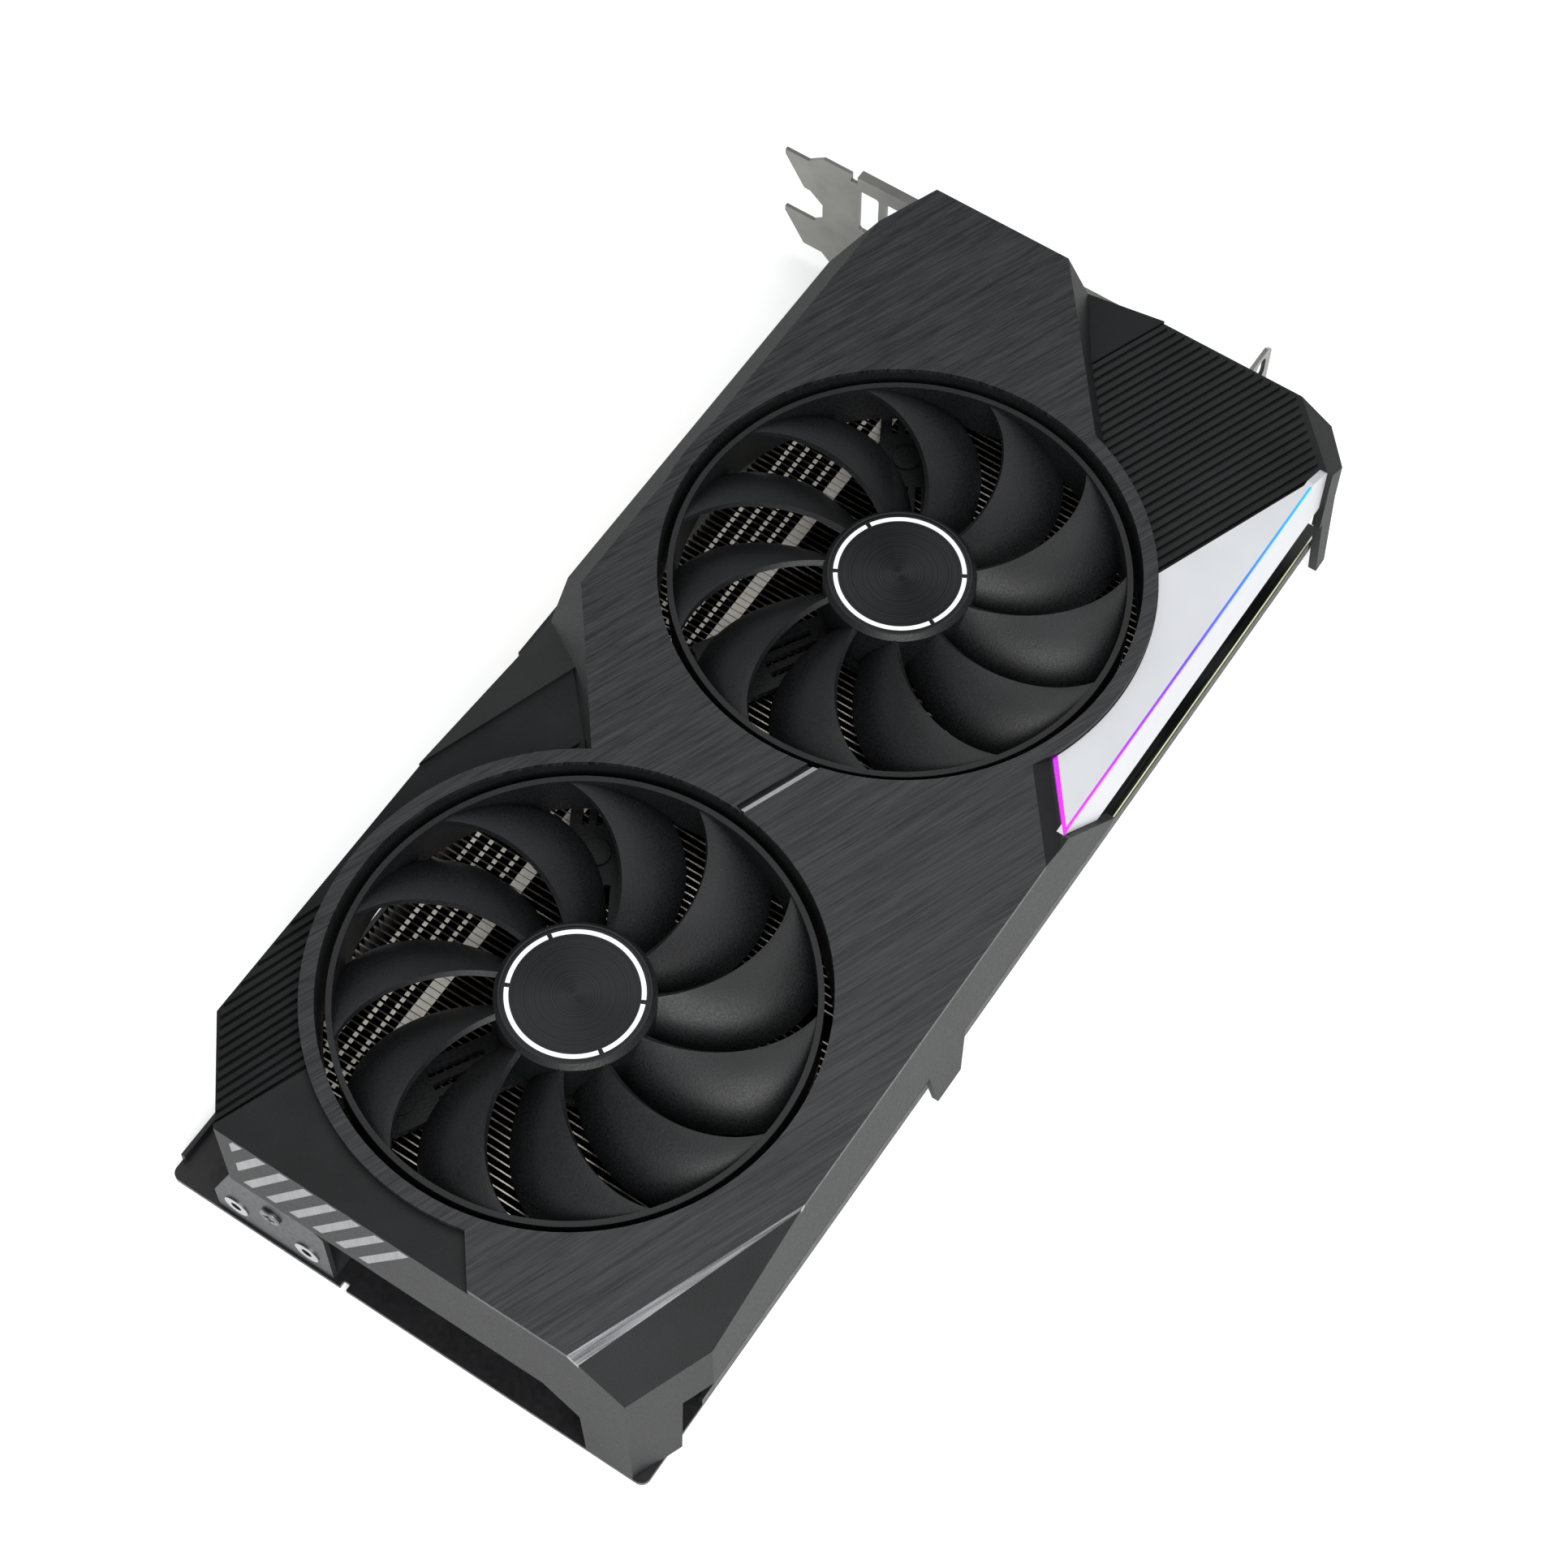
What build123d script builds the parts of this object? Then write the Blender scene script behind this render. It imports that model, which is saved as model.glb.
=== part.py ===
"""Two-fan graphics card, built the way it comes apart on a bench.

The card lies on its backplate: +X runs from the bracket to the tail, +Y from the
slot contacts to the top edge, +Z from the backplate up to the fans. The origin is
the centre of the card's footprint, on the backplate's outer face.
"""
import os
from math import atan2, cos, degrees, radians, sin, tan

from build123d import *

os.makedirs("parts", exist_ok=True)

# ---------------------------------------------------------------- driving sizes
card_length = 267.0        # bracket face to the tail edge
card_rise = 149.5          # bracket tongue tip to the top edge
card_depth = 52.2          # backplate face to the front face
flange_reach = 11.4        # bracket screw flange, out from the bracket face

wall = 2.0                 # moulded shroud wall
deck = 2.0                 # moulded shroud front
skirt_depth = 26.5         # shroud side wall, from the front face down
plate_thickness = 1.2      # brushed front plate
diagonal = 22.0            # degrees, the direction of the ribs and the brushing
bevel_angle = 38.5         # degrees, the waist and corner cuts
edge_chamfer = 5.0

fan_pitch = 115.7
opening_radius = 50.15
rim_width = 3.05
collar_depth = 16.0

blade_count = 11
rotor_radius = 48.2
rotor_ring = 1.2
rotor_height = 11.5
hub_radius = 16.0
hub_wall = 1.6
shaft_radius = 1.0
bearing_clearance = 0.04
face_gap = 2.2             # front face down to the hub label

backplate_thickness = 1.2
board_gap = 2.7            # backplate to board
board_thickness = 1.57
board_length = 172.6
fin_thickness = 0.3
fin_pitch = 1.6
fin_top = 33.0
pipe_radius = 3.0

bracket_thickness = 0.9
bracket_width = 38.74
bracket_height = 120.0
slot_pitch = 20.32
tongue_width = 10.19

fit = 0.15                 # clearance round a piece that drops into a pocket

# ---------------------------------------------------------------- worked-out places
x_bracket = flange_reach - (card_length + flange_reach) / 2
x_tail = x_bracket + card_length
x_right = x_tail
y_top = card_rise / 2
y_tip = -card_rise / 2
y_low = y_top - 119.0
z_face = card_depth
z_skirt = z_face - skirt_depth
z_hub = z_face - face_gap
z_board = backplate_thickness + board_gap
z_board_top = z_board + board_thickness

fan_y = y_top - 61.5
fan_mid = x_right - 119.0
x_left = fan_mid - 145.1
fan_x = [fan_mid - fan_pitch / 2, fan_mid + fan_pitch / 2]
rim_radius = opening_radius + rim_width
fan_names = ["front", "rear"]

far = 400.0


def along(point, angle, length):
    """The point a length away from another in the direction of an angle in degrees."""
    return (point[0] + length * cos(radians(angle)), point[1] + length * sin(radians(angle)))


def meeting(point, angle, other, other_angle):
    """Where two plan lines cross, each given by a point and an angle in degrees."""
    a = radians(angle)
    b = radians(other_angle)
    reach = ((other[0] - point[0]) * sin(b) - (other[1] - point[1]) * cos(b)) / sin(b - a)
    return (point[0] + reach * cos(a), point[1] + reach * sin(a))


def slope_plane(point, z, heading, slope):
    """A plane through a level line that falls away on the line's right-hand side."""
    side = radians(heading - 90)
    tilt = radians(slope)
    normal = (cos(side) * sin(tilt), sin(side) * sin(tilt), cos(tilt))
    return Plane(origin=(point[0], point[1], z), z_dir=normal)


def plane_through(a, b, c):
    """The upward plane through three points."""
    normal = (Vector(*b) - Vector(*a)).cross(Vector(*c) - Vector(*a)).normalized()
    if normal.Z < 0:
        normal = normal * -1
    return Plane(origin=a, z_dir=normal)


def lowered(plane, depth):
    """The same plane, a depth further down along its own normal."""
    return Plane(origin=plane.origin - plane.z_dir * depth, z_dir=plane.z_dir)


def space_over(corners, floors, grow=0.0, sink=0.0, clear_rims=True):
    """The space above the floor planes inside a plan outline, clear of the fan rims."""
    with BuildPart() as space:
        with BuildSketch(Plane.XY):
            with BuildLine():
                Polyline(*corners, close=True)
            make_face()
            if grow:
                offset(amount=grow, kind=Kind.INTERSECTION)
        extrude(amount=z_face + 5)
        for floor in floors:
            split(bisect_by=lowered(floor, sink), keep=Keep.TOP)
        if clear_rims:
            with BuildSketch(Plane.XY):
                with Locations(*[(x, fan_y) for x in fan_x]):
                    Circle(rim_radius - max(grow, 0.0))
            extrude(amount=z_face + 6, mode=Mode.SUBTRACT)
    return space.part


# ---------------------------------------------------------------- front outline
corner_drop = 10.8                       # the bracket-end corner cut on the low side
waist_x = fan_mid - 18.2
notch_x = fan_mid - 15.4                 # where the light panel's notch starts
strip_x = fan_mid + 70.3                 # where the silver strip starts

face_low_left = (x_left, y_low + corner_drop)
face_chamfer = (x_left + (corner_drop - edge_chamfer) / tan(radians(diagonal)), y_low + edge_chamfer)
face_waist = (waist_x, y_low + edge_chamfer)
face_waist_in = along(face_waist, bevel_angle, 40.8)
tail_step = (x_right, fan_y + 19.2)
tail_step_in = along(tail_step, bevel_angle + 180, 13.6)
strip_start = (strip_x, y_top)
strip_end = (x_right, y_top - (x_right - strip_x) * tan(radians(diagonal)))
notch_start = (notch_x, y_top)
notch_in = along(notch_start, bevel_angle + 180, 23.6)
field_corner = (x_left, fan_y - 12.8)
field_corner_in = along(field_corner, bevel_angle, 47.5)

tail_cut = 17.0
outline = [
    face_low_left,
    (x_left + corner_drop / tan(radians(diagonal)), y_low),
    (x_right - tail_cut / tan(radians(bevel_angle)), y_low),
    (x_right, y_low + tail_cut),
    (x_right, y_top - 18.0 * tan(radians(diagonal))),
    (x_right - 18.0, y_top),
    (x_left + 8.5, y_top),
    (x_left, y_top - 7.3),
]
face_outline = [
    face_low_left, face_chamfer, face_waist, face_waist_in, tail_step_in, tail_step,
    strip_end, strip_start, notch_start, notch_in, field_corner_in, field_corner,
]

# ---------------------------------------------------------------- sloping faces
deck_level = z_face - 2.2
field_level = z_face - 4.2
rib_height = 0.9
rib_pitch = 2.0
rib_width = 1.1
flat = Plane.XY
chamfer_plane = slope_plane(face_waist, z_face, 180 + 180, 45)
waist_plane = slope_plane(face_waist, z_face, bevel_angle, 62)
corner_plane = slope_plane(field_corner, z_face, bevel_angle + 180, 62)
strip_plane = slope_plane(strip_end, z_face, 180 - diagonal, 38)
border_plane = slope_plane(notch_start, z_face, bevel_angle + 180, 26)
field_floor = flat.offset(field_level - rib_height)
low_rib_y = 13.8
low_corner = (fan_mid - 2.4, y_low + low_rib_y)
rib_fall = 0.2
low_field = plane_through(
    (fan_mid, y_low, z_face - 8.0),
    (fan_mid + 10, y_low, z_face - 8.0),
    (fan_mid, y_low + 10, z_face - 8.0 + 10 * rib_fall),
)
low_run = low_rib_y / tan(radians(diagonal))
low_triangle = plane_through(
    (low_corner[0], low_corner[1], z_face - 8.0 + low_rib_y * rib_fall + 0.9),
    (low_corner[0] + low_run, y_low, z_face - 7.1),
    (face_waist[0] + 4.3, y_low, z_face - 13.1),
)
field_border = (x_left, fan_y + 11.9)
high_triangle = slope_plane(field_border, field_level, -diagonal, 13.5)
facet_start = (x_left + 0.3, fan_y + 45.0)
facet_plane = slope_plane(facet_start, field_level, 45 + 180, 40)

# Spaces to cut away above the sloping faces, as plan outlines with their floors
panel_low = (fan_mid - 86.9, fan_y + 44.4)
panel_left = (x_left + 20.6, y_top - 2.2)
fan_centres = [(x, fan_y) for x in fan_x]
out = 12.0
high_border_in = meeting(field_border, -diagonal, field_corner, bevel_angle)
low_border_in = meeting(low_corner, -diagonal, face_waist, bevel_angle)
field_area = [
    (x_left - out, field_border[1] + out * tan(radians(diagonal))),
    high_border_in, field_corner_in, fan_centres[0], panel_low, panel_left,
    (panel_left[0] - 3.5, y_top + out), (x_left - out, y_top + out),
]
high_triangle_area = [
    along(field_corner, bevel_angle + 180, out), high_border_in,
    (x_left - out, field_border[1] + out * tan(radians(diagonal))),
]
facet_area = [
    along(facet_start, 225, out), facet_start, along(facet_start, 45, 19.7),
    (panel_left[0] - 3.5, y_top + out), (x_left - out, y_top + out),
]
deck_border = (x_right, y_low + 16.2)
deck_border_in = along(deck_border, 180 - diagonal, 30)
low_area = [
    low_border_in, face_waist_in, fan_centres[1], deck_border_in,
    along(deck_border, -diagonal, out), (x_right + out, y_low - out),
    along((low_corner[0] + low_run, y_low), -diagonal, out * 2),
]
low_triangle_area = [
    along(face_waist, bevel_angle + 180, out), low_border_in,
    along((low_corner[0] + low_run, y_low), -diagonal, out * 2),
    (face_waist[0], y_low - out),
]
deck_area = [
    (x_right + out, tail_step[1]), tail_step, tail_step_in, fan_centres[1], deck_border_in,
    along(deck_border, -diagonal, out),
]
strip_area = [
    along(strip_start, 180 - diagonal, out), strip_end, along(strip_end, -diagonal, out),
    (x_right + out, y_top + out), (strip_start[0], y_top + out),
]
chamfer_area = [
    (x_left - out, y_low + edge_chamfer), (face_waist[0] + 2, y_low + edge_chamfer),
    (face_waist[0] + 2, y_low - out), (x_left - out, y_low - out),
]
border_area = [
    along(notch_start, bevel_angle, out), notch_in, fan_centres[0], panel_low, panel_left,
    (panel_left[0] - 3.5, y_top + out),
]
cuts = [
    (field_area, [field_floor, corner_plane]),
    (high_triangle_area, [high_triangle, corner_plane]),
    (facet_area, [facet_plane]),
    (low_area, [low_field, waist_plane]),
    (low_triangle_area, [low_triangle, waist_plane]),
    (deck_area, [flat.offset(deck_level)]),
    (strip_area, [strip_plane]),
    (chamfer_area, [chamfer_plane]),
    (border_area, [border_plane, flat.offset(z_face - 1.8)]),
]
cut_spaces = [space_over(area, floors) for area, floors in cuts]
inner_spaces = [space_over(area, floors, grow=wall, sink=deck) for area, floors in cuts]

# ---------------------------------------------------------------- light panel
panel_level = z_face - 1.6
panel_inset = 1.2
panel_y = y_top - panel_inset
panel_skirt = 17.6
panel_thickness = 1.6
panel_foot = (fan_mid - 131.4, z_face - 1.6 - panel_skirt)
guide_width = 1.2
panel_end = along((notch_start[0] - 8.6, panel_y), bevel_angle + 180, 0)
panel_end_in = along(panel_end, bevel_angle + 180, 26)


def panel_sketch(grow):
    """The panel's top face in plan, as a sketch grown by an amount."""
    with BuildSketch(Plane.XY) as top:
        with BuildLine():
            Polyline(
                (panel_left[0], panel_y), panel_left, panel_low, fan_centres[0],
                panel_end_in, panel_end, close=True,
            )
        make_face()
        if grow:
            offset(amount=grow, kind=Kind.INTERSECTION)
        with Locations(fan_centres[0]):
            Circle(rim_radius + fit - grow, mode=Mode.SUBTRACT)
    return top.sketch


def panel_side(grow, foot):
    """The panel's side skirt down to a level, seen from the top edge."""
    slant = (panel_level - foot) / tan(radians(48.5))
    with BuildSketch(Plane.XZ) as side:
        with BuildLine():
            Polyline(
                (panel_foot[0], panel_level - 4), (panel_left[0], panel_level),
                (panel_end[0], panel_level), (panel_end[0] - slant, foot),
                (panel_foot[0], foot), close=True,
            )
        make_face()
        if grow:
            offset(amount=grow, kind=Kind.INTERSECTION)
    return side.sketch


panel_top_flat = panel_sketch(0)
panel_top_grown = panel_sketch(fit)
panel_side_flat = panel_side(0, panel_foot[1])
panel_side_opening = panel_side(fit, z_skirt - 2)

with BuildPart() as light_guide:
    with BuildSketch(Plane.XY.offset(panel_level - 0.9)):
        with BuildLine():
            Polyline(
                (panel_end[0] - 1.6, panel_y), panel_end, panel_end_in,
                along(panel_end_in, bevel_angle + 90, guide_width),
                (panel_end[0] - 1.6 - 0.3, panel_y - 0.5),
                (panel_left[0] + 1, panel_y - 0.5), (panel_left[0] + 1, panel_y), close=True,
            )
        make_face()
        with Locations(fan_centres[0]):
            Circle(rim_radius + fit, mode=Mode.SUBTRACT)
    extrude(amount=0.9)
light_guide.part.label = "light_guide"

with BuildPart() as light_panel:
    with BuildSketch(Plane.XY.offset(panel_level - panel_thickness)):
        add(panel_top_flat)
    extrude(amount=panel_thickness)
    with BuildSketch(Plane.XZ.offset(-panel_y)):
        add(panel_side_flat)
    extrude(amount=panel_thickness)
    add(light_guide.part, mode=Mode.SUBTRACT)
light_panel.part.label = "light_panel"

# ---------------------------------------------------------------- tail brace places
brace_low = fan_y - 47.8
brace_high = fan_y - 18.9
brace_top = z_skirt - 0.3
brace_thickness = 1.2
insert_places = [(fan_y - 42.2, 8.2), (fan_y - 24.5, 8.2)]
insert_bore = 1.25
brace_screw_at = (fan_y - 32.2, 16.8)
brace_screw_radius = 1.3
brace_x = x_right - 0.6
brace_plane = Plane(origin=(brace_x, 0, 0), x_dir=(0, 1, 0), z_dir=(1, 0, 0))

# ---------------------------------------------------------------- shroud places
post_radius = 2.7
post_bore = 1.25
board_end = x_left + 0.5 + board_length
posts = [
    (x_left + 17.4, fan_y - 42.0), (x_left + 17.4, fan_y + 34.0),
    (fan_mid - 20.0, fan_y + 52.5), (fan_mid + 3.0, fan_y - 51.9),
    (fan_mid + 92.0, fan_y + 52.5), (fan_mid + 84.0, fan_y - 51.5),
]
frame_level = z_face - collar_depth
ear_radius = rim_radius + 0.6
ear_angles = [90, 210, 330]
ears = [along(centre, angle, ear_radius) for centre in fan_centres for angle in ear_angles]
slot_centre = (fan_mid - 1.2, fan_y + 7.9)
slot_length = 19.0
slot_width = 2.2
strip_width = 2.4
strip_depth = 1.0


def leg(plane, corners, depth):
    """A flat leg that carries the side wall down to the backplate."""
    with BuildPart() as piece:
        with BuildSketch(plane):
            with BuildLine():
                Polyline(*corners, close=True)
            make_face()
        extrude(amount=depth)
    return piece.part


leg_foot = backplate_thickness + 0.2
wall_plane = Plane.XZ.offset(-y_top)
tail_plane = Plane(origin=(x_right, 0, 0), x_dir=(0, 1, 0), z_dir=(1, 0, 0))
corner_edge_y = y_top - 18.0 * tan(radians(diagonal))
legs = [
    leg(wall_plane, [(fan_mid + 11.8, 5.8), (fan_mid + 20.4, 5.8),
                     (fan_mid + 25.4, z_skirt + 1), (fan_mid + 11.8, z_skirt + 1)], wall * 0.75),
    leg(tail_plane, [(corner_edge_y, leg_foot), (corner_edge_y - 11.0, leg_foot),
                     (corner_edge_y - 11.5, z_skirt - 6.5), (corner_edge_y - 21.0, z_skirt + 1),
                     (corner_edge_y, z_skirt + 1)], -wall),
    leg(wall_plane, [(x_left + 5.0, leg_foot + 1), (x_left + 8.7, leg_foot + 1),
                     (x_left + 13.6, z_skirt + 8), (x_left + 8.7, z_skirt + 8)], wall),
]
corner_slant = Plane(
    origin=(x_right, corner_edge_y, 0),
    x_dir=(-cos(radians(diagonal)), sin(radians(diagonal)), 0),
    z_dir=(sin(radians(diagonal)), cos(radians(diagonal)), 0),
)
corner_leg = [(0, leg_foot), (11.6, leg_foot), (12.4, z_skirt + 1), (0, z_skirt + 1)]
legs.append(leg(corner_slant, corner_leg, -wall))


def rib_field(area, floor, start, count, height):
    """Parallel ribs standing on a floor plane inside an area, cut off at the given height."""
    with BuildPart() as ribs:
        with BuildSketch(Plane.XY):
            with BuildLine():
                Polyline(*area, close=True)
            make_face()
            with Locations(*fan_centres):
                Circle(rim_radius, mode=Mode.SUBTRACT)
        extrude(amount=z_face)
        split(bisect_by=lowered(floor, 0.4), keep=Keep.TOP)
        split(bisect_by=lowered(floor, -height), keep=Keep.BOTTOM)
        across = Plane(origin=(start[0], start[1], 0), x_dir=(cos(radians(-diagonal)), sin(radians(-diagonal)), 0))
        with BuildSketch(across):
            with Locations(*[(0, rib_pitch * step) for step in range(count)]):
                Rectangle(2 * far, rib_width)
        extrude(amount=z_face, mode=Mode.INTERSECT)
    return ribs.part


edge_gap = 1.0
high_rib_area = [
    (x_left + edge_gap, field_border[1] - 1), along(field_border, -diagonal, 24.5),
    along(field_corner_in, 180, 2.0), fan_centres[0], (panel_low[0], panel_low[1] - 1.5),
    (panel_left[0] - 1.5, panel_left[1] - 1.0), (facet_start[0] + 14.2, facet_start[1] + 13.6),
    (x_left + edge_gap, facet_start[1] + 0.2),
]
low_rib_area = [
    (low_corner[0] + 1.0, low_corner[1] + 0.5), along(face_waist_in, -90, 3), fan_centres[1],
    along(deck_border_in, -90, 1), (x_right - 2, deck_border[1] - 0.6),
    (x_right - 22, y_low + 0.6), (low_corner[0] + low_run, y_low + 0.6),
]
high_ribs = rib_field(high_rib_area, field_floor, (x_left, field_border[1] + 1.2), 28, rib_height)
low_ribs = rib_field(low_rib_area, low_field, (x_right - 22, y_low - 9.0), 30, rib_height)

with BuildPart() as silver_strip:
    with BuildSketch(Plane.XY):
        with BuildLine():
            Polyline(
                strip_start, strip_end, (x_right, strip_end[1] + strip_width),
                (strip_start[0] + strip_width / 2, y_top), close=True,
            )
        make_face()
    extrude(amount=z_face)
    split(bisect_by=strip_plane, keep=Keep.BOTTOM)
    split(bisect_by=lowered(strip_plane, strip_depth), keep=Keep.TOP)
silver_strip.part.label = "silver_strip"

# ---------------------------------------------------------------- tail wall inlays
stripe_count = 8
stripe_pitch = 5.6
stripe_width = 2.3
stripe_depth = 0.6
stripe_low = fan_y - 36.0
stripe_top = z_face - 3.2
stripe_foot = z_skirt + 3.0
stripe_lean = 12.0

with BuildPart() as tail_stripes:
    with BuildSketch(tail_plane):
        for step in range(stripe_count):
            low = stripe_low + step * stripe_pitch
            with BuildLine():
                Polyline(
                    (low, stripe_top), (low + stripe_width, stripe_top),
                    (low + stripe_width - stripe_lean, stripe_foot), (low - stripe_lean, stripe_foot),
                    close=True,
                )
            make_face()
        with BuildLine():
            Polyline(
                (stripe_low - 1.2, stripe_foot), (stripe_low - 1.2, stripe_top),
                (stripe_low + stripe_count * stripe_pitch, stripe_top),
                (stripe_low + stripe_count * stripe_pitch, stripe_foot), close=True,
            )
        make_face(mode=Mode.INTERSECT)
    extrude(amount=-stripe_depth)
tail_stripes.part.label = "tail_stripes"

# ---------------------------------------------------------------- shroud and front plate
with BuildSketch(Plane.XY) as pocket_sketch:
    with BuildLine():
        Polyline(*face_outline, close=True)
    make_face()
    with Locations(*fan_centres):
        Circle(rim_radius)
    with Locations(*fan_centres):
        Circle(opening_radius, mode=Mode.SUBTRACT)

with BuildSketch(Plane.XY) as face_sketch:
    add(pocket_sketch.sketch)
    with Locations(Location((slot_centre[0], slot_centre[1], 0), (0, 0, -diagonal))):
        Rectangle(slot_length, slot_width, mode=Mode.SUBTRACT)

with BuildPart() as cavity:
    with BuildSketch(Plane.XY.offset(-1)):
        with BuildLine():
            Polyline(*outline, close=True)
        make_face()
        offset(amount=-wall, kind=Kind.INTERSECTION)
    extrude(amount=z_face - plate_thickness - deck + 1)
    for space in inner_spaces:
        add(space, mode=Mode.SUBTRACT)

with BuildPart() as shroud:
    with BuildSketch(Plane.XY.offset(z_skirt)):
        with BuildLine():
            Polyline(*outline, close=True)
        make_face()
    extrude(amount=z_face - z_skirt)
    add(cavity.part, mode=Mode.SUBTRACT)
    # Screw posts down to the board or the backplate
    for place in posts:
        foot = z_board_top if place[0] < board_end else backplate_thickness
        with BuildSketch(Plane.XY.offset(foot)):
            with Locations(place):
                Circle(post_radius)
        extrude(amount=z_face - plate_thickness - 0.5 - foot)
        with BuildSketch(Plane.XY.offset(foot)):
            with Locations(place):
                Circle(post_bore)
        extrude(amount=9, mode=Mode.SUBTRACT)
    # Collars round the fans, with the bosses that the fan frames hang from
    with BuildSketch(Plane.XY.offset(frame_level)):
        with Locations(*fan_centres):
            Circle(opening_radius + wall)
        with Locations(*ears):
            Circle(3.4)
    extrude(amount=z_face - plate_thickness - deck - frame_level + 0.5)
    with BuildSketch(Plane.XY.offset(frame_level)):
        with Locations(*ears):
            Circle(1.1)
    extrude(amount=8, mode=Mode.SUBTRACT)
    # Boss behind the tail wall for the brace's screw
    with BuildSketch(Plane.XY.offset(brace_screw_at[1] - 4)):
        with Locations((brace_x - brace_thickness - 2.0, brace_screw_at[0])):
            Rectangle(4.0, 7.0)
    extrude(amount=z_face - plate_thickness - 0.5 - brace_screw_at[1] + 4)
    with BuildSketch(brace_plane):
        with Locations(brace_screw_at):
            Circle(brace_screw_radius)
    extrude(amount=-4.5, mode=Mode.SUBTRACT)
    for space in cut_spaces:
        add(space, mode=Mode.SUBTRACT)
    for piece in legs:
        add(piece)
    add(high_ribs)
    add(low_ribs)
    # Fan openings, the pocket for the front plate, and the opening for the light panel
    with BuildSketch(Plane.XY.offset(frame_level - 1)):
        with Locations(*fan_centres):
            Circle(opening_radius)
    extrude(amount=z_face, mode=Mode.SUBTRACT)
    with BuildSketch(Plane.XY.offset(z_face - plate_thickness)):
        add(pocket_sketch.sketch)
    extrude(amount=plate_thickness + 1, mode=Mode.SUBTRACT)
    add(silver_strip.part, mode=Mode.SUBTRACT)
    add(tail_stripes.part, mode=Mode.SUBTRACT)
    with BuildSketch(Plane.XY.offset(z_face - plate_thickness - deck - 2)):
        add(panel_top_grown)
    extrude(amount=deck + 5, mode=Mode.SUBTRACT)
    with BuildSketch(Plane.XZ.offset(-y_top - 1)):
        add(panel_side_opening)
    extrude(amount=1 + panel_inset + panel_thickness + fit, mode=Mode.SUBTRACT)
shroud.part.label = "shroud"

with BuildPart() as face_plate:
    with BuildSketch(Plane.XY.offset(z_face - plate_thickness)):
        add(face_sketch.sketch)
    extrude(amount=plate_thickness)
face_plate.part.label = "face_plate"


with BuildPart() as centre_trim:
    with BuildSketch(Plane.XY.offset(z_face - plate_thickness)):
        with Locations(Location((slot_centre[0], slot_centre[1], 0), (0, 0, -diagonal))):
            with Locations((0, slot_width / 2 - 0.45)):
                Rectangle(slot_length, 0.9)
        with Locations(*fan_centres):
            Circle(opening_radius + 0.4, mode=Mode.SUBTRACT)
    extrude(amount=plate_thickness)
centre_trim.part.label = "centre_trim"

# ---------------------------------------------------------------- fans
rotor_foot = z_hub - rotor_height
motor_foot = frame_level - 1.6
frame_thickness = 1.6
blade_thickness = 1.25
blade_span = rotor_radius - rotor_ring - hub_radius
leading_sweep = 24.0
leading_curl = 7.4
blade_starts = [29.0, 24.0]
magnet_outer = hub_radius - hub_wall
magnet_inner = magnet_outer - 1.4
stator_radius = magnet_inner - 0.6
tube_radius = 4.2
bearing_radius = 3.0
label_radius = 14.6
label_thickness = 0.5


def leading_angle(radius):
    """Angle of a blade's leading edge at a radius, swept on from the hub."""
    share = max(0.0, (radius - hub_radius) / blade_span)
    return leading_sweep * share + leading_curl * share ** 4


def blade_section(radius, width_angle, drop, camber):
    """One blade section, facing out along the radius: a thin cambered strip."""
    middle = leading_angle(radius) - width_angle / 2
    chord = 2 * radius * sin(radians(width_angle / 2))
    spot = along((0, 0), middle, radius)
    face = Plane(
        origin=(spot[0], spot[1], z_hub - 0.6 - drop / 2),
        x_dir=(-sin(radians(middle)), cos(radians(middle)), 0),
        z_dir=(cos(radians(middle)), sin(radians(middle)), 0),
    )
    lead = Vector(chord / 2, drop / 2)
    trail = Vector(-chord / 2, -drop / 2)
    lean = (lead - trail).normalized()
    lift = Vector(-lean.Y, lean.X)
    crown = lift * (camber * chord)
    skin = lift * blade_thickness
    with BuildSketch(face) as section:
        with BuildLine():
            top = ThreePointArc(trail, crown, lead)
            Line(top @ 1, lead - skin)
            under = ThreePointArc(lead - skin, crown - skin, trail - skin)
            Line(under @ 1, top @ 0)
        make_face()
    return section.sketch


sections = [
    blade_section(hub_radius - 1.0, 24, 9.6, 0.10),
    blade_section(hub_radius + 9, 25, 9.4, 0.13),
    blade_section(hub_radius + 21, 25.5, 9.0, 0.13),
    blade_section(rotor_radius - 0.2, 24, 8.0, 0.10),
]
with BuildPart() as blade:
    for section in sections:
        add(section)
    loft()
    with BuildSketch(Plane.XY):
        Circle(rotor_radius - rotor_ring / 2)
    extrude(amount=z_face, mode=Mode.INTERSECT)

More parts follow.
